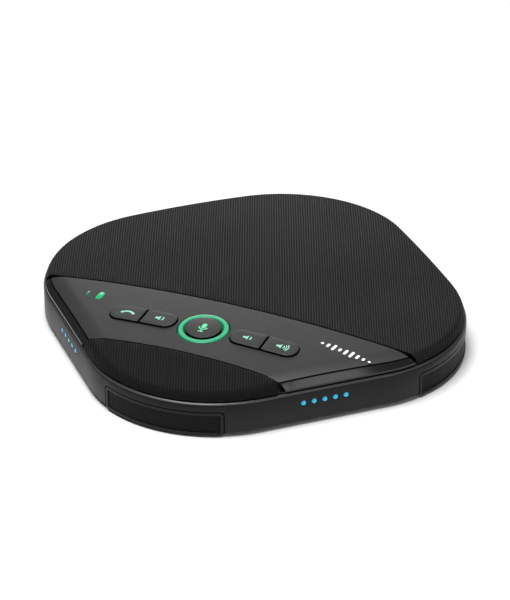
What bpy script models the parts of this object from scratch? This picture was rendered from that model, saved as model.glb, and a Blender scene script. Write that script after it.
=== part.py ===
"""Conference speakerphone: a domed, rounded-square desk unit with a fabric top, a key panel and four
microphone corners.

Metres, +Z up. The origin is on the surface the feet stand on, under the middle of the case. The user
faces +Y, so the front corner points along -Y and the five keys lie in a row along X.
"""
import math

import bmesh
import bpy

# ---- outline of the case, seen from above: a square standing on its front corner, corners rounded
FLAT_HALF = 0.0704            # middle of the case to the middle of a side
CORNER_RADIUS = 0.0472
CORNER_STEPS = 10

# ---- heights
FOOT_PROUD = 0.0008           # how far the feet stand out under the case
BASE_TOP = 0.0133             # top edge of the lower casing
SEAM = 0.0008                 # dark gap between the lower casing and the top
CROWN = 0.02255               # highest point of the domed top
DOME_RISE = 0.0043            # crown above the dome over the middle of a side

# ---- clearances
GAP = 0.0003                  # between solids that seat on each other
KEY_GAP = 0.00035             # all round a key in the panel
GROOVE = 0.0007               # between the panel and the main grille
FRONT_GROOVE = 0.00035        # between the panel and the front grille, which is fitted more closely
BITE = 0.0005                 # how far two shapes run into each other before they are joined
PAST = 0.001                  # how far a cutter runs past what it cuts

# ---- lower casing
BASE_WALL = 0.0024
BASE_CHAMFER = 0.0012         # round the bottom edge
BASE_LIP = 0.0008             # bevel under the seam
LEDGE_DEPTH = 0.0026          # inner ledge that the bottom cover closes against
LEDGE_THICKNESS = 0.0016
COVER_THICKNESS = 0.0020

# ---- corner grilles, one over each microphone
GRILLE_SWEEP = 28.5           # degrees each side of the corner
GRILLE_TOP = 0.00975
GRILLE_THICKNESS = 0.0011
GRILLE_END_ROUND = 0.0013
SOUND_WINDOW = (0.014, 0.0030)

# ---- domed top
SKIN = 0.0016                 # grille and panel thickness
RIM_IN = 0.0036               # how far the rounded fabric rim reaches in
RIM_DOWN = 0.00835            # its height, of which the part above the seam is there
RIM_STEPS = 5
PANEL_BEVEL_LOW = 0.0006      # bevelled panel end: inset at the seam
PANEL_BEVEL_HIGH = 0.0023     # and at the top edge
PANEL_ROLL_OFF = 0.0013       # how far the panel has curved down below the dome at that edge
PANEL_ROLL_WIDTH = 0.0060     # over which it does so
PANEL_BACK_Y = -0.0235        # straight edge against the main grille
PANEL_FRONT_Y = -0.0574       # middle of the curved edge against the front grille
PANEL_FRONT_RADIUS = 0.325

# ---- keys
KEY_ROW_Y = -0.0421
KEY_DEPTH = 0.0085
KEY_TO_RING = 0.0017          # from the lit ring to the key pair beside it
KEY_PAIR = 0.0252             # length of a key pair
KEY_SPLIT = 0.0008            # slit between the two keys of a pair
KEY_ROUND = 0.0038            # rounded outer corners
KEY_RAISE = 0.0006            # keys stand this far above the panel
KEY_EDGE = 0.0003
KEY_TRAVEL = 0.0006
KEY_SLACK = 0.0002            # left between stem and switch when a key is right down
KEY_FLANGE = 0.0006           # how far a key's retaining flange reaches under the panel
KEY_FLANGE_RELIEF = 0.0002    # set-back of the flange along the slit
KEY_FLANGE_LOW = 0.0167
KEY_FLANGE_HIGH = 0.0174
STEM_RADIUS = 0.0015
MUTE_RADIUS = 0.0064
MUTE_TO_RING = 0.0006
RING_WIDTH = 0.0021
RING_RAISE = 0.00015
RING_FLANGE = 0.0006
RING_LOW = 0.0173
RING_FLANGE_HIGH = 0.0181
MUTE_FLANGE = 0.0020          # how far the mute key's flange reaches under the ring
MUTE_FLANGE_HIGH = 0.0170

# ---- status lights on the panel
WINDOWS = {                   # left and right, front and back
    "link_light_window": ((-0.0511, -0.0498), (-0.0347, -0.0314)),
    "battery_light_window": ((-0.0463, -0.0440), (-0.0357, -0.0311)),
}

# ---- light dots on the two front sides
DOT_COUNT = 5
DOT_PITCH = 0.00395
DOT_RADIUS = 0.0009
DOT_Z = 0.00865
LIGHT_BAR = (0.0210, 0.0024, 0.0026)
DOT_SUNK = 0.0001             # dots end this far inside the side

# ---- top frame, boards and switches
FRAME_TOP = 0.0150
FRAME_PLATE = 0.0013
FRAME_INSET = 0.0032
SKIRT_WALL = 0.0016
SKIRT_LOW = 0.0108
FLANGE_INSET = 0.0013
RIB_WIDTH = 0.0024
POST_INSET = 0.0154           # from each side to the middle of its screw post
POST_RADIUS = 0.0032
PROPS = [(-0.045, 0.0), (-0.045, 0.034), (0.045, 0.0), (0.045, 0.034), (0.0, 0.062)]
PROP_RADIUS = 0.0018
KEY_WINDOW_MARGIN = 0.00065   # frame opening round the keys, past their flanges
BOARD = 0.0011
KEY_BOARD_MARGIN = 0.0012     # between the key board's ends and the screw posts beside them
KEY_BOARD_Y = (-0.0522, -0.0324)
KEY_BOARD_ARM = (0.0545, 0.0033)
BOARD_SCREW_INSET = 0.0022
SWITCH = (0.0045, 0.0011)
SWITCH_TIP = (0.0010, 0.0005)

# ---- feet and screws
FOOT_INSET = 0.0200           # from each corner to the middle of its foot
FOOT_RADIUS = 0.0065
FOOT_EDGE = 0.0003
FOOT_RECESS = 0.0009
SCREW_HEAD = (0.0027, 0.00075)
SCREW_SHANK = 0.0011
SCREW_TIP = 0.0112            # height that the case screws reach
SCREW_POINT = 0.0004
SCREW_SLOT = (0.0016, 0.0003)
COUNTERBORE = 0.0012
BOARD_SCREW_HEAD = (0.0014, 0.0006)
BOARD_SCREW_SHANK = 0.0007

# ---- speaker
SPEAKER_Y = 0.0140
SPEAKER_RADIUS = 0.0310
SPEAKER_CUT = 0.0272
MAGNET_RADIUS = 0.0150
MAGNET_Z = (0.0041, 0.0087)
MAGNET_HOLE = 0.0060
BASKET_WALL = 0.0010
BASKET_FLANGE = 0.0012
DUST_CAP = 0.0090
GASKET_WIDTH = 0.0035

# ---- power, antenna and microphones
BATTERY = (0.0460, 0.0320, 0.0066)
BATTERY_Y = -0.0300
MAIN_BOARD = (0.0560, 0.0260)
MAIN_BOARD_INSET = 0.0010     # between the case wall and the board
MAIN_BOARD_LOW = 0.0050
PORT = (0.0089, 0.0073, 0.0032)
PORT_SUNK = 0.0003
PORT_WALL = 0.0004
PORT_BACK = 0.0012
TONGUE = (0.0033, 0.00035)
ANTENNA = (0.0140, 0.0060, 0.0008)
ANTENNA_LOW = 0.0070
RIBBON_X = 0.0280             # where the ribbon leaves the key board
RIBBON = (0.0026, 0.00025)
RIBBON_END = (0.0032, 0.0035, 0.0005)    # its far end, in from two edges of the main board and above it
MIC_SET_BACK = 0.0012
MIC_RADIUS = 0.0026
MIC_LENGTH = 0.0018
MIC_PORT_RADIUS = 0.0010
BOOT = (0.0090, 0.0040, 0.0054)
BOOT_FRONT = 0.0012

CORNERS = {"front": 0.0, "right": 90.0, "back": 180.0, "left": 270.0}
SIDES = {"front_right": 45.0, "front_left": -45.0, "back_right": 135.0, "back_left": -135.0}

# ---- worked out from the sizes above
CORNER_CENTRE = (FLAT_HALF - CORNER_RADIUS) * math.sqrt(2.0)
APEX = CORNER_CENTRE + CORNER_RADIUS
DOME_RADIUS = (FLAT_HALF**2 + DOME_RISE**2) / (2.0 * DOME_RISE)
TOP_START = BASE_TOP + SEAM
BASE_BOTTOM = FOOT_PROUD
COVER_TOP = BASE_BOTTOM + COVER_THICKNESS
LEDGE_LOW = COVER_TOP + GAP
LEDGE_HIGH = LEDGE_LOW + LEDGE_THICKNESS
FRAME_LOW = FRAME_TOP - FRAME_PLATE
BOARD_TOP = FRAME_LOW - GAP
RING_INNER = MUTE_RADIUS + MUTE_TO_RING
RING_OUTER = RING_INNER + RING_WIDTH
KEY_INNER_X = RING_OUTER + KEY_TO_RING
KEY_OUTER_X = KEY_INNER_X + KEY_PAIR
KEY_MIDDLE_X = (KEY_INNER_X + KEY_OUTER_X) / 2
KEYS = {                      # left, right, and whether the left end is the rounded one
    "call_key": (-KEY_OUTER_X, -KEY_MIDDLE_X - KEY_SPLIT / 2, True),
    "speaker_key": (-KEY_MIDDLE_X + KEY_SPLIT / 2, -KEY_INNER_X, False),
    "volume_down_key": (KEY_INNER_X, KEY_MIDDLE_X - KEY_SPLIT / 2, True),
    "volume_up_key": (KEY_MIDDLE_X + KEY_SPLIT / 2, KEY_OUTER_X, False),
}
STEM_LOW = BOARD_TOP + GAP + SWITCH[1] + SWITCH_TIP[1] + KEY_TRAVEL + KEY_SLACK
POST_DISTANCE = FLAT_HALF - POST_INSET
KEY_BOARD_X = POST_DISTANCE / math.sqrt(2.0) - POST_RADIUS - KEY_BOARD_MARGIN
FOOT_DISTANCE = APEX - FOOT_INSET
MAIN_BOARD_REACH = FLAT_HALF - BASE_WALL - MAIN_BOARD_INSET
PORT_Z = MAIN_BOARD_LOW + BOARD + GAP + PORT[2] / 2
MIC_Z = LEDGE_HIGH + GAP + BOOT[2] / 2
BELOW_CASE = -0.005
ABOVE_CASE = CROWN + 0.01


# ---------------------------------------------------------------- scene, materials and small helpers
for old in list(bpy.data.objects):
    bpy.data.objects.remove(old, do_unlink=True)

PARTS = bpy.data.collections.new("conference_speakerphone")
CUTTERS = bpy.data.collections.new("cutters")
for group in (PARTS, CUTTERS):
    bpy.context.scene.collection.children.link(group)
CUTTERS.hide_render = True


def finish(name, colour, roughness, metallic=0.0, glow=0.0):
    """A Principled material in one colour, glowing in that colour when asked."""
    material = bpy.data.materials.new(name)
    material.use_nodes = True
    shader = material.node_tree.nodes["Principled BSDF"]
    shader.inputs["Base Color"].default_value = (*colour, 1.0)
    shader.inputs["Roughness"].default_value = roughness
    shader.inputs["Metallic"].default_value = metallic
    if glow:
        shader.inputs["Emission Color"].default_value = (*colour, 1.0)
        shader.inputs["Emission Strength"].default_value = glow
    material.diffuse_color = (*colour, 1.0)
    return material


CASE_PLASTIC = finish("case_plastic", (0.030, 0.030, 0.031), 0.48)
PANEL_PLASTIC = finish("panel_plastic", (0.075, 0.076, 0.078), 0.42)
KEY_PLASTIC = finish("key_plastic", (0.072, 0.073, 0.075), 0.45)
ACOUSTIC_FABRIC = finish("acoustic_fabric", (0.022, 0.022, 0.023), 0.85)
MIC_MESH = finish("mic_mesh", (0.012, 0.012, 0.012), 0.70)
FOOT_RUBBER = finish("foot_rubber", (0.020, 0.020, 0.020), 0.90)
GREEN_LIGHT = finish("green_light", (0.06, 0.75, 0.38), 0.35, glow=2.0)
BLUE_LIGHT = finish("blue_light", (0.04, 0.48, 0.85), 0.35, glow=2.0)
BOARD_GREEN = finish("board_green", (0.010, 0.090, 0.040), 0.45)
STEEL = finish("steel", (0.55, 0.55, 0.56), 0.30, metallic=1.0)
PAPER_CONE = finish("paper_cone", (0.035, 0.033, 0.031), 0.80)
FERRITE = finish("ferrite", (0.060, 0.060, 0.062), 0.55)
BATTERY_WRAP = finish("battery_wrap", (0.35, 0.36, 0.38), 0.40)
FLEX_AMBER = finish("flex_amber", (0.40, 0.16, 0.03), 0.40)
SWITCH_BLACK = finish("switch_black", (0.030, 0.030, 0.030), 0.50)


def add_object(name, bm, material=None):
    """Make the bmesh a named object: a part when it has a material, a hidden cutter when not."""
    bmesh.ops.recalc_face_normals(bm, faces=bm.faces)
    mesh = bpy.data.meshes.new(name)
    bm.to_mesh(mesh)
    bm.free()
    obj = bpy.data.objects.new(name, mesh)
    if material is None:
        CUTTERS.objects.link(obj)
        obj.hide_render = True
        obj.display_type = "WIRE"
        return obj
    PARTS.objects.link(obj)
    mesh.materials.append(material)
    mesh.shade_smooth()
    mesh.set_sharp_from_angle(angle=math.radians(30))
    return obj


def boolean(obj, tool, operation):
    """Add a Boolean with the exact solver."""
    modifier = obj.modifiers.new(f"{operation.lower()}_{tool.name}", "BOOLEAN")
    modifier.operation = operation
    modifier.solver = "EXACT"
    modifier.object = tool
    return obj


def cut(obj, *tools):
    for tool in tools:
        boolean(obj, tool, "DIFFERENCE")
    return obj


def keep(obj, tool):
    return boolean(obj, tool, "INTERSECT")


def join(obj, *tools):
    for tool in tools:
        boolean(obj, tool, "UNION")
    return obj


def turn(obj, degrees):
    """Swing an object about the case's vertical axis."""
    obj.rotation_euler.z = math.radians(degrees)
    return obj


def turned_point(x, y, degrees):
    """Where a point goes when its object is swung about the case's vertical axis."""
    angle = math.radians(degrees)
    return (x * math.cos(angle) - y * math.sin(angle), x * math.sin(angle) + y * math.cos(angle))


def wider(limits, margin):
    return (limits[0] - margin, limits[1] + margin)


def box(name, x, y, z, material=None, soften=0.0):
    """A block between pairs of limits, with its long edges softened if asked."""
    bm = bmesh.new()
    bmesh.ops.create_cube(bm, size=1.0)
    for vert in bm.verts:
        vert.co.x = x[0] if vert.co.x < 0 else x[1]
        vert.co.y = y[0] if vert.co.y < 0 else y[1]
        vert.co.z = z[0] if vert.co.z < 0 else z[1]
    if soften:
        bmesh.ops.bevel(bm, geom=list(bm.edges), offset=soften, segments=2, profile=0.5,
                        affect="EDGES", material=-1)
    return add_object(name, bm, material)


def rods(name, centres, radius, z, material=None, segments=16):
    """Upright cylinders between two heights, as one mesh."""
    bm = bmesh.new()
    for x, y in centres:
        made = bmesh.ops.create_cone(bm, cap_ends=True, segments=segments, radius1=radius, radius2=radius,
                                     depth=z[1] - z[0])
        bmesh.ops.translate(bm, verts=made["verts"], vec=(x, y, (z[0] + z[1]) / 2))
    return add_object(name, bm, material)


def loft(name, rings, material=None, hoop=False):
    """Skin rings of matching points, bottom to top; a hoop joins the last ring to the first."""
    bm = bmesh.new()
    loops = [[bm.verts.new(point) for point in ring] for ring in rings]
    pairs = list(zip(loops, loops[1:]))
    if hoop:
        pairs.append((loops[-1], loops[0]))
    for lower, upper in pairs:
        for i, vert in enumerate(lower):
            j = (i + 1) % len(lower)
            bm.faces.new((vert, lower[j], upper[j], upper[i]))
    if not hoop:
        bm.faces.new(loops[0][::-1])
        bm.faces.new(loops[-1])
    return add_object(name, bm, material)


def prism(name, points, z, material=None):
    """A flat outline raised between two heights: a filled 2D curve with thickness, made a mesh."""
    curve = bpy.data.curves.new(name, "CURVE")
    curve.dimensions = "2D"
    curve.fill_mode = "BOTH"
    curve.extrude = (z[1] - z[0]) / 2
    spline = curve.splines.new("POLY")
    spline.points.add(len(points) - 1)
    for point, (x, y) in zip(spline.points, points):
        point.co = (x, y, 0.0, 1.0)
    spline.use_cyclic_u = True
    guide = bpy.data.objects.new(name, curve)
    CUTTERS.objects.link(guide)
    graph = bpy.context.evaluated_depsgraph_get()
    mesh = bpy.data.meshes.new_from_object(guide.evaluated_get(graph))
    bpy.data.objects.remove(guide)
    bm = bmesh.new()
    bm.from_mesh(mesh)
    bmesh.ops.remove_doubles(bm, verts=bm.verts, dist=0.00001)
    bmesh.ops.translate(bm, verts=bm.verts, vec=(0.0, 0.0, (z[0] + z[1]) / 2))
    return add_object(name, bm, material)


def lathe(name, profile, centre, material, steps=32):
    """Turn a closed profile of radius and height about an upright axis."""
    bm = bmesh.new()
    verts = [bm.verts.new((radius, 0.0, height)) for radius, height in profile]
    for i, vert in enumerate(verts):
        bm.edges.new((vert, verts[(i + 1) % len(verts)]))
    obj = add_object(name, bm, material)
    screw = obj.modifiers.new("turn", "SCREW")
    screw.axis = "Z"
    screw.steps = steps
    screw.render_steps = steps
    screw.use_merge_vertices = True
    screw.merge_threshold = 0.00001
    screw.use_normal_calculate = True
    screw.use_normal_flip = True
    obj.location = centre
    return obj


# ---------------------------------------------------------------- the outline and the dome
def outline_frame():
    """Points of the case outline, each with its outward direction."""
    frame = []
    for start in CORNERS.values():
        axis = math.radians(start - 90.0)
        for step in range(CORNER_STEPS + 1):
            angle = axis + math.radians(90.0 * step / CORNER_STEPS - 45.0)
            normal = (math.cos(angle), math.sin(angle))
            frame.append((CORNER_CENTRE * math.cos(axis) + CORNER_RADIUS * normal[0],
                          CORNER_CENTRE * math.sin(axis) + CORNER_RADIUS * normal[1], normal))
    return frame


OUTLINE = outline_frame()


def outline(inset):
    return [(x - n[0] * inset, y - n[1] * inset) for x, y, n in OUTLINE]


def level(inset, z):
    return [(x, y, z) for x, y in outline(inset)]


def dome(x, y):
    """Height of the domed top over a point."""
    return CROWN - DOME_RADIUS + math.sqrt(DOME_RADIUS**2 - x * x - y * y)


def domed_form(name, side_rings, shrink):
    """A solid with the given side, closed by the dome; shrink keeps it below the real surface."""
    rim = side_rings[-1]
    rings = [[(x, y, BASE_BOTTOM) for x, y, _ in side_rings[0]]] + side_rings
    for share in (0.84, 0.66, 0.46, 0.25, 0.07):
        rings.append([(x * share, y * share, dome(x * share, y * share) - shrink) for x, y, _ in rim])
    return loft(name, rings)


def rim_ring(step, shrink):
    """One ring up the rounded rim of the fabric grilles, from the seam to the dome."""
    ring = []
    for x, y, n in OUTLINE:
        top = dome(x - n[0] * RIM_IN, y - n[1] * RIM_IN)
        start = math.asin(1.0 - (top - TOP_START) / RIM_DOWN)
        angle = start + (math.pi / 2 - start) * step / RIM_STEPS
        inset = RIM_IN * (1.0 - math.cos(angle)) + shrink
        ring.append((x - n[0] * inset, y - n[1] * inset,
                     top - RIM_DOWN * (1.0 - math.sin(angle)) - shrink))
    return ring


def fabric_form(name, shrink=0.0):
    return domed_form(name, [rim_ring(step, shrink) for step in range(RIM_STEPS + 1)], shrink)


def panel_form(name, shrink=0.0):
    rings = [level(PANEL_BEVEL_LOW + shrink, TOP_START - shrink)]
    for share in (0.0, 0.3, 0.65, 1.0):
        fall = PANEL_ROLL_OFF * (1.0 - share) ** 2 + shrink
        points = outline(PANEL_BEVEL_HIGH + PANEL_ROLL_WIDTH * share + shrink)
        rings.append([(x, y, dome(x, y) - fall) for x, y in points])
    return domed_form(name, rings, shrink)


def panel_front_y(x):
    return PANEL_FRONT_Y - PANEL_FRONT_RADIUS + math.sqrt(PANEL_FRONT_RADIUS**2 - x * x)


def panel_front_edge(shift, half_width, count=24):
    """Points along the panel's curved front edge, left to right."""
    xs = [half_width * (2.0 * i / count - 1.0) for i in range(count + 1)]
    return [(x, panel_front_y(x) + shift) for x in xs]


# ---------------------------------------------------------------- lower casing
def corner_band(name, sweep, inner, outer, z, chamfer, end_round, material=None):
    """A curved plate that follows the front corner, with rounded ends."""
    bm = bmesh.new()
    start = math.radians(-90.0 - sweep)
    profile = [(outer, z[1]), (inner, z[1]), (inner, z[0]), (outer - chamfer, z[0]), (outer, z[0] + chamfer)]
    if not chamfer:
        profile.pop()
    verts = [bm.verts.new((r * math.cos(start), r * math.sin(start) - CORNER_CENTRE, height))
             for r, height in profile]
    edges = [bm.edges.new((vert, verts[(i + 1) % len(verts)])) for i, vert in enumerate(verts)]
    bmesh.ops.spin(bm, geom=edges, cent=(0.0, -CORNER_CENTRE, 0.0), axis=(0.0, 0.0, 1.0),
                   angle=math.radians(2.0 * sweep), steps=14, use_duplicate=False)
    bmesh.ops.holes_fill(bm, edges=[edge for edge in bm.edges if edge.is_boundary], sides=len(profile))
    ends = [face for face in bm.faces if is_end(face, sweep)]
    corner_edges = [edge for face in ends for edge in face.edges
                    if abs(edge.verts[0].co.z - edge.verts[1].co.z) < 1e-7]
    bmesh.ops.bevel(bm, geom=corner_edges, offset=end_round, segments=3, profile=0.5, affect="EDGES",
                    material=-1)
    return add_object(name, bm, material)


def is_end(face, sweep):
    """Whether a face lies on one of the two radial ends of a corner band."""
    angles = [math.degrees(math.atan2(v.co.x, -(v.co.y + CORNER_CENTRE))) for v in face.verts]
    return all(abs(abs(angle) - sweep) < 0.01 for angle in angles)


def base_shell():
    inner = BASE_WALL
    ledge = BASE_WALL + LEDGE_DEPTH
    shell = loft("base_shell", [
        level(BASE_CHAMFER, BASE_BOTTOM),
        level(0.0, BASE_BOTTOM + BASE_CHAMFER),
        level(0.0, BASE_TOP - BASE_LIP),
        level(BASE_LIP, BASE_TOP),
        level(inner, BASE_TOP),
        level(inner, LEDGE_HIGH),
        level(ledge, LEDGE_HIGH),
        level(ledge, LEDGE_LOW),
        level(inner, LEDGE_LOW),
        level(inner, BASE_BOTTOM),
    ], CASE_PLASTIC, hoop=True)
    window_x = SOUND_WINDOW[0] / 2
    for corner, degrees in CORNERS.items():
        recess = corner_band(f"recess_{corner}", GRILLE_SWEEP + math.degrees(GAP / CORNER_RADIUS),
                             CORNER_RADIUS - GRILLE_THICKNESS - GAP, CORNER_RADIUS + PAST,
                             (BELOW_CASE, GRILLE_TOP + GAP), 0.0, GRILLE_END_ROUND)
        window = box(f"sound_window_{corner}", (-window_x, window_x),
                     (-APEX - PAST, -APEX + BASE_WALL + PAST),
                     (MIC_Z - SOUND_WINDOW[1] / 2, MIC_Z + SOUND_WINDOW[1] / 2))
        cut(shell, turn(recess, degrees), turn(window, degrees))
    for side in ("front_right", "front_left"):
        holes = dot_rods(f"dot_holes_{side}", DOT_RADIUS + GAP, FLAT_HALF - BASE_WALL - PAST,
                         FLAT_HALF + PAST)
        cut(shell, turn(holes, SIDES[side]))
    port_hole = box("port_hole", (-PORT[0] / 2 - GAP, PORT[0] / 2 + GAP),
                    (-FLAT_HALF - PAST, -FLAT_HALF + BASE_WALL + PAST),
                    (PORT_Z - PORT[2] / 2 - GAP, PORT_Z + PORT[2] / 2 + GAP))
    round_edges_along(port_hole, "Y", PORT[2] / 2 - PORT_WALL)
    return cut(shell, turn(port_hole, SIDES["back_right"]))


def round_edges_along(obj, axis, width, segments=4):
    """Round the edges of a block that run along one of its axes."""
    index = "XYZ".index(axis)
    bm = bmesh.new()
    bm.from_mesh(obj.data)
    edges = [edge for edge in bm.edges
             if abs((edge.verts[0].co - edge.verts[1].co).normalized()[index]) > 0.99]
    bmesh.ops.bevel(bm, geom=edges, offset=width, segments=segments, profile=0.5, affect="EDGES",
                    material=-1)
    bm.to_mesh(obj.data)
    bm.free()
    return obj


def dot_rods(name, radius, start, end, material=None, segments=16):
    """A row of short rods through the front side, square to it."""
    bm = bmesh.new()
    for index in range(DOT_COUNT):
        made = bmesh.ops.create_cone(bm, cap_ends=True, segments=segments, radius1=radius, radius2=radius,
                                     depth=end - start)
        for vert in made["verts"]:
            x, y, z = vert.co
            vert.co = (x + (index - (DOT_COUNT - 1) / 2) * DOT_PITCH, -(start + end) / 2 + z, DOT_Z + y)
    return add_object(name, bm, material)


def corner_grilles():
    for corner, degrees in CORNERS.items():
        grille = corner_band(f"corner_grille_{corner}", GRILLE_SWEEP, CORNER_RADIUS - GRILLE_THICKNESS,
                             CORNER_RADIUS, (BASE_BOTTOM, GRILLE_TOP), BASE_CHAMFER / 2,
                             GRILLE_END_ROUND, MIC_MESH)
        turn(grille, degrees)


def post_spots():
    return {side: turned_point(0.0, -POST_DISTANCE, degrees) for side, degrees in SIDES.items()}


def bottom_cover():
    cover = loft("bottom_cover", [
        level(BASE_WALL + GAP, BASE_BOTTOM),
        level(BASE_WALL + GAP, COVER_TOP),
    ], CASE_PLASTIC)
    spots = list(post_spots().values())
    bosses = rods("cover_bosses", spots, POST_RADIUS, (COVER_TOP - BITE, LEDGE_HIGH))
    holes = rods("cover_screw_holes", spots, SCREW_SHANK + GAP, (BELOW_CASE, FRAME_LOW))
    sinks = rods("cover_counterbores", spots, SCREW_HEAD[0] + GAP, (BELOW_CASE, BASE_BOTTOM + COUNTERBORE))
    feet = [turned_point(0.0, -FOOT_DISTANCE, degrees) for degrees in CORNERS.values()]
    recesses = rods("foot_recesses", feet, FOOT_RADIUS + GAP, (BELOW_CASE, BASE_BOTTOM + FOOT_RECESS),
                    segments=24)
    return cut(join(cover, bosses), holes, sinks, recesses)


def rubber_feet():
    top = BASE_BOTTOM + FOOT_RECESS - GAP
    for corner, degrees in CORNERS.items():
        x, y = turned_point(0.0, -FOOT_DISTANCE, degrees)
        lathe(f"rubber_foot_{corner}", [(0.0, top), (FOOT_RADIUS, top), (FOOT_RADIUS, FOOT_EDGE),
                                        (FOOT_RADIUS - FOOT_EDGE, 0.0), (0.0, 0.0)], (x, y, 0.0),
              FOOT_RUBBER, 24)


def case_screws():
    head_top = BASE_BOTTOM + COUNTERBORE - GAP
    head_low = head_top - SCREW_HEAD[1]
    for side, (x, y) in post_spots().items():
        screw = lathe(f"case_screw_{side}", [
            (0.0, SCREW_TIP), (SCREW_SHANK, SCREW_TIP - SCREW_POINT), (SCREW_SHANK, head_top),
            (SCREW_HEAD[0], head_top), (SCREW_HEAD[0], head_low), (0.0, head_low)], (x, y, 0.0), STEEL, 16)
        slot = box(f"screw_slot_{side}", (x - SCREW_SLOT[0], x + SCREW_SLOT[0]),
                   (y - SCREW_SLOT[1], y + SCREW_SLOT[1]), (BELOW_CASE, head_low + SCREW_HEAD[1] / 2))
        cut(screw, slot)


# ---------------------------------------------------------------- top section
def top_skins():
    outer = fabric_form("fabric_form")
    inner = fabric_form("fabric_form_inside", SKIN)
    reach = 2.0 * FLAT_HALF
    main = prism("main_grille", [(-reach, PANEL_BACK_Y + GROOVE / 2), (reach, PANEL_BACK_Y + GROOVE / 2),
                                 (reach, reach), (-reach, reach)], (TOP_START, ABOVE_CASE), ACOUSTIC_FABRIC)
    cut(keep(main, outer), inner)
    edge = panel_front_edge(-FRONT_GROOVE / 2, FLAT_HALF)
    front = prism("front_grille", edge + [(FLAT_HALF, -reach), (-FLAT_HALF, -reach)],
                  (TOP_START, ABOVE_CASE), ACOUSTIC_FABRIC)
    cut(keep(front, outer), inner)
    side = APEX + PAST
    edge = panel_front_edge(FRONT_GROOVE / 2, side, 40)
    back_y = PANEL_BACK_Y - GROOVE / 2
    panel = prism("control_panel", edge + [(side, back_y), (-side, back_y)], (TOP_START, ABOVE_CASE),
                  PANEL_PLASTIC)
    cut(keep(panel, panel_form("panel_form")), panel_form("panel_form_inside", SKIN))
    for name, (left, right, round_left) in KEYS.items():
        points = key_outline(left, right, round_left, KEY_GAP, KEY_GAP)
        cut(panel, prism(f"{name}_opening", points, (TOP_START, ABOVE_CASE)))
    cut(panel, rods("ring_opening", [(0.0, KEY_ROW_Y)], RING_OUTER + GAP, (TOP_START, ABOVE_CASE),
                    segments=48))
    for name, (x, y) in WINDOWS.items():
        cut(panel, box(f"{name}_opening", wider(x, GAP), wider(y, GAP), (TOP_START, ABOVE_CASE)))


def top_frame():
    """The chassis under the skins: a plate with a skirt, a seam flange, ribs and screw posts."""
    upper = loft("top_frame", [level(FRAME_INSET, FRAME_LOW), level(FRAME_INSET, FRAME_TOP)], CASE_PLASTIC)
    reach = 2.0 * FLAT_HALF
    back_rib = box("back_rib", (-reach, reach), (PANEL_BACK_Y - RIB_WIDTH / 2, PANEL_BACK_Y + RIB_WIDTH / 2),
                   (FRAME_TOP - BITE, ABOVE_CASE))
    low_edge = panel_front_edge(-RIB_WIDTH / 2, FLAT_HALF)
    high_edge = panel_front_edge(RIB_WIDTH / 2, FLAT_HALF)
    front_rib = prism("front_rib", low_edge + high_edge[::-1], (FRAME_TOP - BITE, ABOVE_CASE))
    supports = rods("grille_supports", PROPS, PROP_RADIUS, (FRAME_TOP - BITE, ABOVE_CASE), segments=12)
    join(upper, back_rib, front_rib, supports)
    keep(upper, panel_form("below_skins", SKIN + GAP))
    skirt = loft("skirt", [
        level(BASE_WALL + GAP, SKIRT_LOW),
        level(BASE_WALL + GAP, BASE_TOP + GAP),
        level(FLANGE_INSET, BASE_TOP + GAP),
        level(FLANGE_INSET, TOP_START - GAP),
        level(BASE_WALL + GAP + SKIRT_WALL, TOP_START - GAP),
        level(BASE_WALL + GAP + SKIRT_WALL, SKIRT_LOW),
    ], hoop=True)
    posts = rods("posts", list(post_spots().values()), POST_RADIUS, (LEDGE_HIGH + GAP, FRAME_LOW + BITE))
    join(upper, skirt, posts)
    pilots = rods("post_pilots", list(post_spots().values()), SCREW_SHANK + GAP,
                  (BELOW_CASE, SCREW_TIP + GAP), segments=16)
    through_plate = (FRAME_LOW - PAST, FRAME_TOP + PAST)
    speaker_hole = rods("speaker_hole", [(0.0, SPEAKER_Y)], SPEAKER_CUT, through_plate, segments=32)
    half = KEY_DEPTH / 2 + KEY_FLANGE + KEY_WINDOW_MARGIN
    key_window = box("key_window", (-KEY_OUTER_X, KEY_OUTER_X), (KEY_ROW_Y - half, KEY_ROW_Y + half),
                     through_plate)
    cut(upper, pilots, speaker_hole, key_window)
    for name, (x, y) in WINDOWS.items():
        cut(upper, box(f"{name}_shaft", wider(x, GAP), wider(y, GAP), (FRAME_LOW - PAST, ABOVE_CASE)))
    pilots = rods("board_pilots", board_screw_spots().values(), BOARD_SCREW_SHANK + GAP,
                  (FRAME_LOW - PAST, FRAME_TOP - GAP), segments=12)
    return cut(upper, pilots)


# ---------------------------------------------------------------- keys and lights
def key_outline(left, right, round_left, outset=0.0, split_outset=0.0):
    """Outline of one key of a pair, rounded at its outer end only."""
    sign = -1.0 if round_left else 1.0
    outer = (left if round_left else right) + sign * outset
    inner = (right if round_left else left) - sign * split_outset
    half = KEY_DEPTH / 2 + outset
    radius = min(KEY_ROUND + outset, half)
    points = [(inner, KEY_ROW_Y - half)]
    for step in range(7):
        angle = math.radians(90.0 * step / 6)
        points.append((outer - sign * radius * (1.0 - math.sin(angle)),
                       KEY_ROW_Y - half + radius * (1.0 - math.cos(angle))))
    for step in range(7):
        angle = math.radians(90.0 * step / 6)
        points.append((outer - sign * radius * (1.0 - math.cos(angle)),
                       KEY_ROW_Y + half - radius * (1.0 - math.sin(angle))))
    points.append((inner, KEY_ROW_Y + half))
    return points if sign > 0 else points[::-1]


def on_dome(points, lift):
    return [(x, y, dome(x, y) + lift) for x, y in points]


def at_height(points, z):
    return [(x, y, z) for x, y in points]


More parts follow.
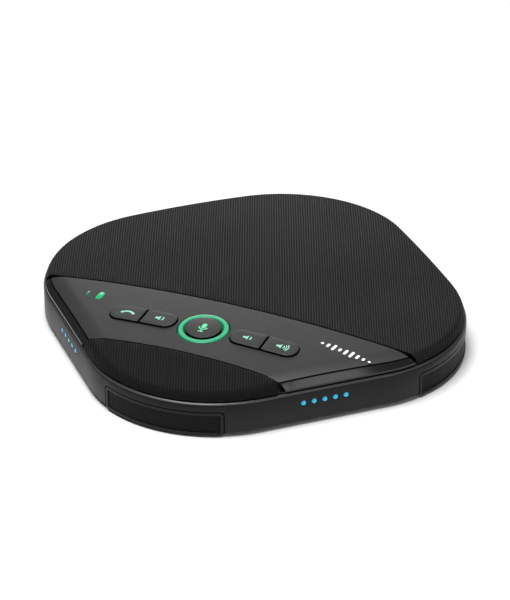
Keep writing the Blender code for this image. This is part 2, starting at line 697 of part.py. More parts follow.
def rocker_keys():
    for name, (left, right, round_left) in KEYS.items():
        wide = key_outline(left, right, round_left, KEY_FLANGE, -KEY_FLANGE_RELIEF)
        full = key_outline(left, right, round_left)
        small = key_outline(left, right, round_left, -KEY_EDGE, -KEY_EDGE)
        key = loft(name, [at_height(wide, KEY_FLANGE_LOW), at_height(wide, KEY_FLANGE_HIGH),
                          at_height(full, KEY_FLANGE_HIGH), on_dome(full, KEY_RAISE - KEY_EDGE),
                          on_dome(small, KEY_RAISE)], KEY_PLASTIC)
        stem = rods(f"{name}_stem", [((left + right) / 2, KEY_ROW_Y)], STEM_RADIUS,
                    (STEM_LOW, KEY_FLANGE_LOW + BITE), segments=16)
        join(key, stem)


def circle(radius, steps=40):
    angles = [2 * math.pi * i / steps for i in range(steps)]
    return [(radius * math.cos(angle), KEY_ROW_Y + radius * math.sin(angle)) for angle in angles]


def mute_key():
    loft("mute_key", [
        at_height(circle(MUTE_RADIUS + MUTE_FLANGE), STEM_LOW),
        at_height(circle(MUTE_RADIUS + MUTE_FLANGE), MUTE_FLANGE_HIGH),
        at_height(circle(MUTE_RADIUS), MUTE_FLANGE_HIGH),
        on_dome(circle(MUTE_RADIUS), KEY_RAISE - KEY_EDGE),
        on_dome(circle(MUTE_RADIUS - KEY_EDGE), KEY_RAISE),
    ], KEY_PLASTIC)


def ring_light_guide():
    flange = RING_OUTER + GAP + RING_FLANGE
    loft("ring_light_guide", [
        at_height(circle(flange), RING_LOW),
        at_height(circle(flange), RING_FLANGE_HIGH),
        at_height(circle(RING_OUTER), RING_FLANGE_HIGH),
        on_dome(circle(RING_OUTER), RING_RAISE),
        on_dome(circle(RING_INNER), RING_RAISE),
        at_height(circle(RING_INNER), RING_LOW),
    ], GREEN_LIGHT, hoop=True)


def status_windows():
    for name, (x, y) in WINDOWS.items():
        points = [(x[0], y[0]), (x[1], y[0]), (x[1], y[1]), (x[0], y[1])]
        loft(name, [at_height(points, BOARD_TOP + GAP), on_dome(points, 0.0)], GREEN_LIGHT)


def light_bars():
    for side in ("front_right", "front_left"):
        face = FLAT_HALF - BASE_WALL - GAP
        bar = box(f"light_bar_{side}", (-LIGHT_BAR[0] / 2, LIGHT_BAR[0] / 2), (-face, -face + LIGHT_BAR[1]),
                  (DOT_Z - LIGHT_BAR[2] / 2, DOT_Z + LIGHT_BAR[2] / 2), BLUE_LIGHT)
        dots = dot_rods(f"dots_{side}", DOT_RADIUS, face - 2 * BITE, FLAT_HALF - DOT_SUNK)
        turn(join(bar, turn(dots, SIDES[side])), SIDES[side])


# ---------------------------------------------------------------- boards, switches and cable
def board_screw_spots():
    x = KEY_BOARD_X - BOARD_SCREW_INSET
    low, high = KEY_BOARD_Y[0] + BOARD_SCREW_INSET, KEY_BOARD_Y[1] - BOARD_SCREW_INSET
    return {"front_left": (-x, low), "front_right": (x, low), "back_left": (-x, high),
            "back_right": (x, high)}


def key_board():
    thickness = (BOARD_TOP - BOARD, BOARD_TOP)
    board = box("key_board", (-KEY_BOARD_X, KEY_BOARD_X), KEY_BOARD_Y, thickness, BOARD_GREEN)
    arm = box("key_board_arm", (-KEY_BOARD_ARM[0], -KEY_BOARD_X + BITE),
              (KEY_BOARD_Y[1] - KEY_BOARD_ARM[1], KEY_BOARD_Y[1] + KEY_BOARD_ARM[1]), thickness)
    holes = rods("key_board_holes", board_screw_spots().values(), BOARD_SCREW_SHANK + GAP,
                 wider(thickness, PAST), segments=12)
    cut(join(board, arm), holes)
    tip = FRAME_TOP - GAP - BITE
    head_top = BOARD_TOP - BOARD - GAP
    head_low = head_top - BOARD_SCREW_HEAD[1]
    for spot, (x, y) in board_screw_spots().items():
        lathe(f"key_board_screw_{spot}", [
            (0.0, tip), (BOARD_SCREW_SHANK, tip), (BOARD_SCREW_SHANK, head_top),
            (BOARD_SCREW_HEAD[0], head_top), (BOARD_SCREW_HEAD[0], head_low), (0.0, head_low)],
            (x, y, 0.0), STEEL, 12)


def tact_switches():
    spots = {"mute_switch": 0.0}
    for name, (left, right, _) in KEYS.items():
        spots[name.replace("_key", "_switch")] = (left + right) / 2
    half = SWITCH[0] / 2
    low = BOARD_TOP + GAP
    for name, x in spots.items():
        body = box(name, (x - half, x + half), (KEY_ROW_Y - half, KEY_ROW_Y + half), (low, low + SWITCH[1]),
                   SWITCH_BLACK)
        tip = rods(f"{name}_tip", [(x, KEY_ROW_Y)], SWITCH_TIP[0],
                   (low + SWITCH[1] - BITE, low + SWITCH[1] + SWITCH_TIP[1]), segments=12)
        join(body, tip)


def main_board():
    far = MAIN_BOARD_REACH
    board = box("main_board", (-MAIN_BOARD[0] / 2, MAIN_BOARD[0] / 2), (-far, -far + MAIN_BOARD[1]),
                (MAIN_BOARD_LOW, MAIN_BOARD_LOW + BOARD), BOARD_GREEN)
    hole = rods("main_board_hole", [(0.0, -POST_DISTANCE)], POST_RADIUS + GAP,
                (MAIN_BOARD_LOW - PAST, MAIN_BOARD_LOW + BOARD + PAST))
    turn(cut(board, turn(hole, SIDES["back_right"])), SIDES["back_right"])


def usb_port():
    """A metal receptacle: a rounded tube closed at the back, with its tongue."""
    mouth = FLAT_HALF - PORT_SUNK
    across = (-PORT[0] / 2, PORT[0] / 2)
    upright = (PORT_Z - PORT[2] / 2, PORT_Z + PORT[2] / 2)
    port = box("usb_port", across, (-mouth, -mouth + PORT[1]), upright, STEEL)
    round_edges_along(port, "Y", PORT[2] / 2 - PORT_WALL / 2)
    hollow = box("port_hollow", wider(across, -PORT_WALL), (-mouth - PAST, -mouth + PORT[1] - PORT_BACK),
                 wider(upright, -PORT_WALL))
    round_edges_along(hollow, "Y", PORT[2] / 2 - PORT_WALL * 1.5)
    tongue = box("port_tongue", (-TONGUE[0], TONGUE[0]),
                 (-mouth + PORT_BACK, -mouth + PORT[1] - PORT_BACK + BITE),
                 (PORT_Z - TONGUE[1], PORT_Z + TONGUE[1]))
    degrees = SIDES["back_right"]
    turn(join(cut(port, turn(hollow, degrees)), turn(tongue, degrees)), degrees)


def wireless_antenna():
    near = POST_DISTANCE + POST_RADIUS + GAP
    board = box("wireless_antenna", (-ANTENNA[0] / 2, ANTENNA[0] / 2), (-near - ANTENNA[1], -near),
                (ANTENNA_LOW, ANTENNA_LOW + ANTENNA[2]), BOARD_GREEN)
    turn(board, SIDES["back_left"])


def battery_pack():
    low = COVER_TOP + GAP
    box("battery_pack", (-BATTERY[0] / 2, BATTERY[0] / 2),
        (BATTERY_Y - BATTERY[1] / 2, BATTERY_Y + BATTERY[1] / 2), (low, low + BATTERY[2]), BATTERY_WRAP,
        soften=0.0009)


def ribbon_cable():
    """A flat flexible lead that drops from the key board to the main board."""
    first = (RIBBON_X, KEY_BOARD_Y[1] + GAP, BOARD_TOP - BOARD / 2)
    last = (*turned_point(-MAIN_BOARD[0] / 2 + RIBBON_END[0],
                          -MAIN_BOARD_REACH + MAIN_BOARD[1] - RIBBON_END[1], SIDES["back_right"]),
            MAIN_BOARD_LOW + BOARD + RIBBON_END[2])
    path = []
    for step in range(9):
        share = step / 8
        shares = (share**2, share, share * share * (3.0 - 2.0 * share))
        path.append([a + (b - a) * part for a, b, part in zip(first, last, shares)])
    bm = bmesh.new()
    half = RIBBON[0]
    rails = []
    for index, (x, y, z) in enumerate(path):
        ahead = path[min(index + 1, len(path) - 1)]
        behind = path[max(index - 1, 0)]
        dx, dy = ahead[0] - behind[0], ahead[1] - behind[1]
        length = math.hypot(dx, dy)
        side = (dy / length * half, -dx / length * half)
        rails.append((bm.verts.new((x - side[0], y - side[1], z)),
                      bm.verts.new((x + side[0], y + side[1], z))))
    for (a, b), (c, d) in zip(rails, rails[1:]):
        bm.faces.new((a, b, d, c))
    cable = add_object("ribbon_cable", bm, FLEX_AMBER)
    wall = cable.modifiers.new("thickness", "SOLIDIFY")
    wall.thickness = RIBBON[1]
    wall.offset = 0.0


# ---------------------------------------------------------------- speaker and microphones
def speaker():
    centre = (0.0, SPEAKER_Y, 0.0)
    seat = FRAME_TOP + GAP
    rim_top = seat + BASKET_FLANGE
    neck = SPEAKER_CUT - 2 * GAP
    foot = MAGNET_RADIUS + 1.5 * BASKET_WALL
    low = MAGNET_Z[1] + GAP
    floor = low + BASKET_WALL
    bend = 2 * BASKET_WALL        # the neck goes this far down before it slopes in
    throat = neck - 1.5 * BASKET_WALL
    lathe("speaker_basket", [
        (SPEAKER_RADIUS, rim_top), (SPEAKER_RADIUS, seat), (neck, seat), (neck, seat - bend), (foot, low),
        (MAGNET_HOLE, low), (MAGNET_HOLE, floor), (foot - BASKET_WALL / 2, floor),
        (throat, seat - 0.75 * bend), (throat, rim_top)], centre, STEEL)
    lathe("speaker_magnet", [(0.0, MAGNET_Z[1]), (MAGNET_RADIUS, MAGNET_Z[1]), (MAGNET_RADIUS, MAGNET_Z[0]),
                             (0.0, MAGNET_Z[0])], centre, FERRITE)
    rim = throat - GAP
    paper = BITE
    surround = 3 * BASKET_WALL
    cap = floor + surround        # underside of the dust cap's middle
    neck_low = floor + BASKET_FLANGE
    lathe("speaker_cone", [
        (rim, rim_top), (rim, rim_top - paper), (rim - surround, rim_top - paper), (DUST_CAP, neck_low),
        (0.0, cap), (0.0, cap + paper), (DUST_CAP, neck_low + paper), (rim - surround, rim_top)],
        centre, PAPER_CONE)
    top = dome(0.0, SPEAKER_Y + SPEAKER_RADIUS) - SKIN - GAP
    inside = SPEAKER_RADIUS - GASKET_WIDTH
    lathe("speaker_gasket", [(SPEAKER_RADIUS, top), (SPEAKER_RADIUS, rim_top + GAP),
                             (inside, rim_top + GAP), (inside, top)], centre, FOOT_RUBBER)


def microphones():
    """A rubber boot with a capsule behind each corner grille."""
    face = APEX - BASE_WALL - MIC_SET_BACK
    for corner, degrees in CORNERS.items():
        boot = box(f"microphone_boot_{corner}", (-BOOT[0] / 2, BOOT[0] / 2), (-face, -face + BOOT[1]),
                   (MIC_Z - BOOT[2] / 2, MIC_Z + BOOT[2] / 2), FOOT_RUBBER)
        back = face - BOOT_FRONT
        bore = side_rod(f"boot_bore_{corner}", MIC_RADIUS + GAP, face - BOOT[1] - PAST, back)
        port = side_rod(f"boot_port_{corner}", MIC_PORT_RADIUS, face - BOOT[1], face + PAST)
        turn(cut(boot, turn(bore, degrees), turn(port, degrees)), degrees)
        capsule = side_rod(f"microphone_{corner}", MIC_RADIUS, back - GAP - MIC_LENGTH, back - GAP, STEEL)
        turn(capsule, degrees)


def side_rod(name, radius, start, end, material=None):
    """A short rod that points out through the front corner."""
    bm = bmesh.new()
    made = bmesh.ops.create_cone(bm, cap_ends=True, segments=20, radius1=radius, radius2=radius,
                                 depth=end - start)
    for vert in made["verts"]:
        x, y, height = vert.co
        vert.co = (x, -(start + end) / 2 + height, MIC_Z + y)
    return add_object(name, bm, material)


base_shell()
corner_grilles()
bottom_cover()
rubber_feet()
case_screws()
top_skins()
top_frame()
rocker_keys()
mute_key()
ring_light_guide()
status_windows()
light_bars()
key_board()
tact_switches()
main_board()
usb_port()
wireless_antenna()
battery_pack()
ribbon_cable()
speaker()
microphones()
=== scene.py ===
import math

import bmesh
import bpy
from mathutils import Matrix, Vector


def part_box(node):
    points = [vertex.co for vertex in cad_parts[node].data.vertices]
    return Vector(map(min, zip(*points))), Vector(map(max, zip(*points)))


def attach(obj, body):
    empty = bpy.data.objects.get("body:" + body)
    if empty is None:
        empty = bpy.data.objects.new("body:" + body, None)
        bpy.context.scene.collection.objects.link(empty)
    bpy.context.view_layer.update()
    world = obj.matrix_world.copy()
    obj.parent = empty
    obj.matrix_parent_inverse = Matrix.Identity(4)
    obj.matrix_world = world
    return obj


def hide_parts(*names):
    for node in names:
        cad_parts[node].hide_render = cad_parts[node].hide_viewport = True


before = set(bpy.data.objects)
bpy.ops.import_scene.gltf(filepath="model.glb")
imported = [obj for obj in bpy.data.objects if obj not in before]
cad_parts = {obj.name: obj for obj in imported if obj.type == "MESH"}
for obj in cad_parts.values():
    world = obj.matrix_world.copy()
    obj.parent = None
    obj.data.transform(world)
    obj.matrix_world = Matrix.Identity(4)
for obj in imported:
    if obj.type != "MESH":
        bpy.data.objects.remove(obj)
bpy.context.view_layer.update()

# Conference speakerphone. Metres, +Z up, standing on its feet; the front corner points along -Y.

weld = 0.000001         # points this close are one point
nearly = 0.00001        # sizes this close are taken as equal
sharpAbove = 35.0       # degrees between two faces that show a sharp edge
scene = bpy.context.scene
scene.view_settings.view_transform = "Standard"

# the case: a square on its corner with round corners, closed by a shallow dome
case = {
    "cornerRadius": 0.0472,
    "domeRise": 0.0043,      # crown above the dome over the middle of a side
    "cornerSteps": 30,       # per quarter turn
    "sideSteps": 9,          # per half side
}
shellLow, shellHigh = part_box("base_shell")
apex = shellHigh.x
cornerAway = apex - case["cornerRadius"]                          # middle of the case to a corner's centre
flatHalf = cornerAway / math.sqrt(2) + case["cornerRadius"]       # middle of the case to a flat side
squareHalf = flatHalf - case["cornerRadius"]
domeRadius = (flatHalf ** 2 + case["domeRise"] ** 2) / (2 * case["domeRise"])
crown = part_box("main_grille")[1].z
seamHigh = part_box("main_grille")[0].z
keyRowY = sum(corner.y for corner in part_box("mute_key")) / 2


def domeHeight(x, y):
    return crown - domeRadius + math.sqrt(domeRadius ** 2 - x * x - y * y)


def edgeInset(point):
    # how far inside the case outline a point lies, seen from above
    turned = [abs(point.x + point.y) / math.sqrt(2), abs(point.x - point.y) / math.sqrt(2)]
    over = [value - squareHalf for value in turned]
    outside = math.hypot(max(over[0], 0.0), max(over[1], 0.0))
    return case["cornerRadius"] - outside - min(max(over), 0.0)


# node helpers
class Wire:
    def __init__(self, finish, socket):
        self.finish = finish
        self.socket = socket

    def sums(self, operation, *values):
        return self.finish.node("ShaderNodeMath", {"operation": operation}, dict(enumerate(values)))

    def __add__(self, other):
        return self.sums("ADD", self, other)

    def __sub__(self, other):
        return self.sums("SUBTRACT", self, other)

    def __rsub__(self, other):
        return self.sums("SUBTRACT", other, self)

    def __mul__(self, other):
        return self.sums("MULTIPLY", self, other)

    def __truediv__(self, other):
        return self.sums("DIVIDE", self, other)

    def __pow__(self, other):
        return self.sums("POWER", self, other)

    __radd__ = __add__
    __rmul__ = __mul__

    def wave(self):
        return self.sums("SINE", self)

    def size(self):
        return self.sums("ABSOLUTE", self)

    def span(self, low, high):
        # 0 up to low, 1 from high, and an even curve between them
        return self.finish.node("ShaderNodeMapRange", {"interpolation_type": "SMOOTHSTEP"},
                                {0: self, 1: low, 2: high})


class Finish:
    def __init__(self, name, roughness=0.5, metallic=0.0, **fixed):
        self.material = bpy.data.materials.new(name)
        self.material.use_nodes = True
        self.tree = self.material.node_tree
        self.shader = self.tree.nodes["Principled BSDF"]
        self.set("Roughness", roughness)
        self.set("Metallic", metallic)
        for key, value in fixed.items():
            self.set(key.replace("_", " "), value)
        self.place = self.node("ShaderNodeTexCoord", output="Object")

    def node(self, kind, settings=None, values=None, output=0):
        made = self.tree.nodes.new(kind)
        for key, value in (settings or {}).items():
            setattr(made, key, value)
        for key, value in (values or {}).items():
            self.feed(made.inputs[key], value)
        if output == "all":
            return [Wire(self, socket) for socket in made.outputs]
        return Wire(self, made.outputs[output])

    def feed(self, socket, value):
        if isinstance(value, Wire):
            self.tree.links.new(value.socket, socket)
        elif socket.type == "RGBA" and len(value) == 3:
            socket.default_value = (*value, 1.0)
        else:
            socket.default_value = value

    def set(self, name, value):
        self.feed(self.shader.inputs[name], value)

    def axes(self, centre=(0.0, 0.0, 0.0), turn=0.0):
        shifted = self.node("ShaderNodeMapping", {"vector_type": "TEXTURE"},
                            {"Vector": self.place, "Location": centre, "Rotation": (0.0, 0.0, turn)})
        return self.node("ShaderNodeSeparateXYZ", None, {0: shifted}, output="all")

    def noise(self, pitch, detail=2.0, roughness=0.5, stretch=(1.0, 1.0, 1.0)):
        place = self.place
        if stretch != (1.0, 1.0, 1.0):
            place = self.node("ShaderNodeMapping", None, {"Vector": self.place, "Scale": stretch})
        return self.node("ShaderNodeTexNoise", None, {"Vector": place, "Scale": 1 / pitch,
                                                      "Detail": detail, "Roughness": roughness})

    def blend(self, share, low, high):
        # 6 and 7 are the colour inputs of a Mix node, output 2 its colour
        return self.node("ShaderNodeMix", {"data_type": "RGBA"}, {0: share, 6: low, 7: high}, output=2)

    def bump(self, height, depth, strength=1.0):
        self.set("Normal", self.node("ShaderNodeBump", None,
                                     {"Height": height, "Distance": depth, "Strength": strength}))


# finishes
def grainedPlastic(name, colour, roughness, grain=0.00022, depth=0.000012, gloss=0.5):
    # moulded plastic with a spark-eroded grain, a little cloudiness and a few dust specks
    f = Finish(name, Specular_IOR_Level=gloss)
    grains = f.noise(grain, detail=3.0, roughness=0.6)
    clouds = f.noise(0.018, detail=2.0)
    specks = f.noise(0.0007, detail=1.0).span(0.74, 0.80)
    tone = 0.90 + 0.20 * clouds
    dark = [c * 0.86 for c in colour]
    light = [c * 1.16 for c in colour]
    base = f.blend(clouds * 0.6 + grains * 0.4, dark, light)
    f.set("Base Color", f.blend(specks * 0.25, base, [c + 0.02 for c in light]))
    f.set("Roughness", (roughness * tone) + 0.10 * (grains - 0.5) + 0.05 * specks)
    f.bump(grains, depth)
    return f.material


def acousticFabric(name, light, dark, pitch=0.00092, turn=24.0):
    # ribbed cloth: raised yarns in rows, bound down by cross threads, with painted shade darkening it over
    # the rim
    f = Finish(name, roughness=0.8, Specular_IOR_Level=0.15)
    x, y, z = f.axes(turn=math.radians(turn))
    rows = (x * (2 * math.pi / pitch)).wave()
    picks = (y * (2 * math.pi / (pitch * 1.12))).wave()
    relief = rows * 0.62 + rows * picks * 0.38
    hollow = (0.5 - relief * 0.5).span(0.22, 0.82)
    yarn = f.noise(0.00016, detail=2.0, stretch=(1.0, 2.2, 1.0))
    slow = f.noise(0.030, detail=2.0)
    below = (domeRadius ** 2 - x * x - y * y) ** 0.5 + (crown - domeRadius) - z
    # painted shade: the further the cloth lies below the dome, the darker it is, so it goes near-black where
    # it drops over the rim
    rim = below.span(0.00004, 0.00030) * 0.50 + below.span(0.0006, 0.0040) * 0.40
    threads = f.blend(slow * 0.55 + yarn * 0.45, dark, light)
    cloth = f.blend(hollow * 0.90, threads, (0.0012, 0.0012, 0.0013))
    f.set("Base Color", f.blend(rim, cloth, (0.0012, 0.0012, 0.0013)))
    f.set("Roughness", 0.52 + 0.25 * hollow + 0.10 * (yarn - 0.5) + 0.12 * rim)
    f.bump((1 - hollow) * 0.8 + yarn * 0.2, 0.00020)
    return f.material


def micMesh(name, pitch=0.00060):
    # fine black gauze over the microphones
    f = Finish(name, roughness=0.7, Specular_IOR_Level=0.14)
    x, y, z = f.axes()
    wire = ((x - y) * (2 * math.pi / pitch)).wave() * (z * (2 * math.pi / pitch)).wave()
    other = ((x + y) * (2 * math.pi / pitch)).wave() * (z * (2 * math.pi / pitch)).wave()
    holes = (wire.size() * 0.5 + other.size() * 0.5).span(0.30, 0.75)
    slow = f.noise(0.009)
    wires = f.blend(slow, (0.0030, 0.0030, 0.0030), (0.0070, 0.0070, 0.0073))
    f.set("Base Color", f.blend(holes, wires, (0.0010, 0.0010, 0.0010)))
    f.set("Roughness", 0.5 + 0.3 * holes)
    f.bump(1 - holes, 0.00010)
    return f.material


def lightGuide(name, colour, deep, power, centre=None, radius=0.0, width=0.0):
    # milky light guide; a round one is brightest along the middle of its band
    f = Finish(name, roughness=0.32, Emission_Strength=power, Coat_Weight=0.3)
    flecks = f.noise(0.0012, detail=2.0)
    level = 0.8 + 0.2 * flecks
    if centre is not None:
        x, y, z = f.axes(centre)
        away = ((x * x + y * y) ** 0.5 - radius).size() / width
        level = level * (1 - 0.90 * away.span(0.30, 0.95))
    f.set("Base Color", f.blend(flecks, [c * 0.5 for c in deep], deep))
    f.set("Emission Color", f.blend(level, deep, colour))
    f.bump(flecks, 0.00001)
    return f.material


def rubber(name):
    f = Finish(name, roughness=0.85, IOR=1.5)
    dust = f.noise(0.0011, detail=4.0, roughness=0.7)
    pores = f.noise(0.00025, detail=2.0)
    f.set("Base Color", f.blend(dust, (0.011, 0.011, 0.011), (0.034, 0.034, 0.033)))
    f.set("Roughness", 0.72 + 0.22 * dust)
    f.bump(pores, 0.00003)
    return f.material


def circuitBoard(name, low=(0.006, 0.060, 0.026), high=(0.013, 0.125, 0.056)):
    # solder mask over copper tracks, with tinned pads
    f = Finish(name, roughness=0.35, IOR=1.5, Coat_Weight=0.4)
    x, y, z = f.axes()
    tracks = f.node("ShaderNodeTexBrick", {"offset": 0.37, "squash": 1.6},
                    {"Vector": f.place, "Scale": 330.0, "Mortar Size": 0.10, "Mortar Smooth": 0.2,
                     "Brick Width": 0.9, "Row Height": 0.34}, output="Fac")
    pads = (x * (math.pi / 0.0021)).wave() * (y * (math.pi / 0.0016)).wave()
    pads = pads.span(0.90, 0.94)
    mask = f.blend(tracks, low, high)
    f.set("Base Color", f.blend(pads, mask, (0.62, 0.58, 0.50)))
    f.set("Metallic", pads)
    f.set("Roughness", 0.42 - 0.12 * pads + 0.10 * tracks)
    f.bump(tracks * 0.6 + pads * 0.4, 0.00004)
    return f.material


def turnedSteel(name):
    # plated steel with fine drawing marks
    f = Finish(name, roughness=0.3, metallic=1.0)
    marks = f.noise(0.0004, detail=4.0, stretch=(1.0, 1.0, 14.0))
    stain = f.noise(0.006, detail=3.0)
    f.set("Base Color", f.blend(stain, (0.46, 0.45, 0.44), (0.66, 0.66, 0.67)))
    f.set("Roughness", 0.22 + 0.22 * marks + 0.10 * stain)
    f.bump(marks, 0.00001)
    return f.material


def paperPulp(name):
    f = Finish(name, roughness=0.85)
    fibres = f.noise(0.0006, detail=5.0, roughness=0.7, stretch=(1.0, 3.0, 1.0))
    f.set("Base Color", f.blend(fibres, (0.018, 0.017, 0.016), (0.060, 0.057, 0.052)))
    f.set("Roughness", 0.70 + 0.25 * fibres)
    f.bump(fibres, 0.00008)
    return f.material


def sinteredFerrite(name):
    f = Finish(name, roughness=0.5, metallic=0.3)
    grains = f.noise(0.0005, detail=5.0, roughness=0.75)
    f.set("Base Color", f.blend(grains, (0.032, 0.032, 0.035), (0.105, 0.104, 0.103)))
    f.set("Roughness", 0.40 + 0.25 * grains)
    f.bump(grains, 0.00006)
    return f.material


def shrinkWrap(name):
    # silver-grey film drawn tight over the cell, with soft creases
    f = Finish(name, roughness=0.35, Coat_Weight=0.5, Coat_Roughness=0.2)
    creases = f.noise(0.010, detail=3.0, stretch=(1.0, 4.0, 1.0))
    fine = f.noise(0.0009, detail=2.0)
    f.set("Base Color", f.blend(creases, (0.24, 0.25, 0.27), (0.44, 0.45, 0.47)))
    f.set("Roughness", 0.26 + 0.22 * creases + 0.06 * fine)
    f.bump(creases * 0.8 + fine * 0.2, 0.0003)
    return f.material


def flexFilm(name):
    # amber film over parallel copper lines
    f = Finish(name, roughness=0.3, Coat_Weight=0.6)
    x, y, z = f.axes(turn=math.radians(-62))
    lines = (y * (2 * math.pi / 0.0007)).wave().span(-0.1, 0.3)
    cloud = f.noise(0.004)
    amber = f.blend(cloud, (0.30, 0.105, 0.015), (0.46, 0.185, 0.035))
    f.set("Base Color", f.blend(lines, amber, (0.50, 0.22, 0.075)))
    f.set("Metallic", lines * 0.5)
    f.set("Roughness", 0.38 - 0.12 * lines)
    f.bump(lines, 0.00003)
    return f.material


def printedInk(name):
    # screen-printed white ink, very slightly uneven, with a faint painted glow
    f = Finish(name, roughness=0.5, Emission_Strength=0.12)
    cover = f.noise(0.0005, detail=3.0)
    f.set("Base Color", f.blend(cover, (0.74, 0.75, 0.75), (0.90, 0.90, 0.90)))
    # painted glow: the ink gives off a little light of its own
    f.set("Emission Color", f.blend(cover, (0.80, 0.80, 0.80), (1.0, 1.0, 1.0)))
    f.set("Roughness", 0.42 + 0.15 * cover)
    f.bump(cover, 0.00001)
    return f.material


# centre of the ring, radius of its brightest line, and how far its light spreads
ringBand = (0.0, keyRowY, 0.0), 0.00810, 0.0011
fineGrain = 0.00016
finishes = {
    "casePlastic": grainedPlastic("casePlastic", (0.0026, 0.0026, 0.0028), 0.44, gloss=0.25),
    # a many times lighter copy of the case plastic for the lip and the lower chamfer: a painted highlight
    # along these edges
    "highlightEdgePlastic": grainedPlastic("highlightEdgePlastic", (0.0420, 0.0420, 0.0430), 0.30),
    # near-black plastic for the walls of gaps, grooves, openings and key sides: painted shade
    "paintedShade": grainedPlastic("paintedShade", (0.0012, 0.0012, 0.0012), 0.75, gloss=0.06),
    "endGloss": grainedPlastic("endGloss", (0.0120, 0.0120, 0.0124), 0.14, depth=0.000002, gloss=0.42),
    "innerPlastic": grainedPlastic("innerPlastic", (0.0060, 0.0060, 0.0062), 0.55),
    "coverPlastic": grainedPlastic("coverPlastic", (0.0150, 0.0150, 0.0154), 0.58),
    "panelPlastic": grainedPlastic("panelPlastic", (0.029, 0.0293, 0.0300), 0.42, fineGrain, 0.000008),
    "keyPlastic": grainedPlastic("keyPlastic", (0.028, 0.0283, 0.0290), 0.45, fineGrain, 0.000008),
    "mainFabric": acousticFabric("mainFabric", (0.0360, 0.0360, 0.0370), (0.0070, 0.0070, 0.0073)),
    "frontFabric": acousticFabric("frontFabric", (0.0115, 0.0115, 0.0119), (0.0042, 0.0042, 0.0043)),
    "micMesh": micMesh("micMesh"),
    "footRubber": rubber("footRubber"),
    "ringGlow": lightGuide("ringGlow", (0.075, 0.70, 0.345), (0.006, 0.090, 0.046), 0.76, *ringBand),
    "iconGlow": lightGuide("iconGlow", (0.42, 0.78, 0.60), (0.10, 0.30, 0.21), 0.75),
    "micGlow": lightGuide("micGlow", (0.22, 0.88, 0.52), (0.04, 0.26, 0.15), 0.80),
    "batteryGlow": lightGuide("batteryGlow", (0.012, 0.50, 0.20), (0.006, 0.16, 0.065), 0.80),
    "linkGlow": lightGuide("linkGlow", (0.030, 0.110, 0.075), (0.020, 0.055, 0.040), 1.0),
    "blueGlow": lightGuide("blueGlow", (0.022, 0.44, 0.64), (0.006, 0.13, 0.23), 0.82),
    "circuitBoard": circuitBoard("circuitBoard"),
    "blackBoard": circuitBoard("blackBoard", (0.003, 0.003, 0.003), (0.007, 0.007, 0.007)),
    "turnedSteel": turnedSteel("turnedSteel"),
    "paperPulp": paperPulp("paperPulp"),
    "sinteredFerrite": sinteredFerrite("sinteredFerrite"),
    "shrinkWrap": shrinkWrap("shrinkWrap"),
    "flexFilm": flexFilm("flexFilm"),
    "switchPlastic": grainedPlastic("switchPlastic", (0.012, 0.012, 0.012), 0.5),
    "printedInk": printedInk("printedInk"),
}
print("finishes:", len(finishes))


# mesh helpers
def onlyVerts(geom):
    return [item for item in geom if isinstance(item, bmesh.types.BMVert)]


def edgesOf(verts):
    # each edge once, always in the same order
    return list(dict.fromkeys(edge for vert in verts for edge in vert.link_edges))


def vertsOf(edges):
    return list(dict.fromkeys(vert for edge in edges for vert in edge.verts))


def chain(bm, points, closed=False):
    verts = [bm.verts.new(point) for point in points]
    ends = verts[1:] + verts[:1] if closed else verts[1:]
    return [bm.edges.new(pair) for pair in zip(verts, ends)]


def drawOut(bm, edges, move):
    verts = onlyVerts(bmesh.ops.extrude_edge_only(bm, edges=edges)["geom"])
    bmesh.ops.translate(bm, verts=verts, vec=move)
    reached = set(verts)
    return [edge for edge in edgesOf(verts) if set(edge.verts) <= reached]


def swingEdges(bm, edges, centre, degrees, steps):
    made = bmesh.ops.spin(bm, geom=edges, cent=(*centre, 0.0), axis=(0.0, 0.0, 1.0),
                          angle=math.radians(degrees), steps=steps, use_duplicate=False)
    return [item for item in made["geom_last"] if isinstance(item, bmesh.types.BMEdge)]


def turnVerts(bm, verts, degrees, axis="Z"):
    bmesh.ops.rotate(bm, verts=verts, cent=(0.0, 0.0, 0.0),
                     matrix=Matrix.Rotation(math.radians(degrees), 3, axis))


def swingAll(bm, degrees):
    turnVerts(bm, bm.verts[:], degrees)


def turnedShape(bm, edges, x, y, steps):
    # a profile of edges swept once round an upright axis
    bmesh.ops.spin(bm, geom=edges, cent=(x, y, 0.0), axis=(0.0, 0.0, 1.0), angle=2 * math.pi, steps=steps,
                   use_merge=True, use_duplicate=False)
    bmesh.ops.remove_doubles(bm, verts=bm.verts[:], dist=weld)


def caseHoop(profile, closed):
    # a cross-section of (inset, height) points carried once round the case outline
    bm = bmesh.new()
    edges = chain(bm, [(0.0, inset - flatHalf, height) for inset, height in profile], closed)
    for _ in range(case["sideSteps"]):
        edges = drawOut(bm, edges, (squareHalf / case["sideSteps"], 0.0, 0.0))
    edges = swingEdges(bm, edges, (squareHalf, -squareHalf), 90.0, case["cornerSteps"])
    for _ in range(case["sideSteps"]):
        edges = drawOut(bm, edges, (0.0, squareHalf / case["sideSteps"], 0.0))
    quarter = bm.verts[:] + bm.edges[:] + bm.faces[:]
    for number in (1, 2, 3):
        copied = onlyVerts(bmesh.ops.duplicate(bm, geom=quarter)["geom"])
        turnVerts(bm, copied, 90.0 * number)
    bmesh.ops.remove_doubles(bm, verts=bm.verts[:], dist=weld)
    swingAll(bm, 45.0)
    return bm


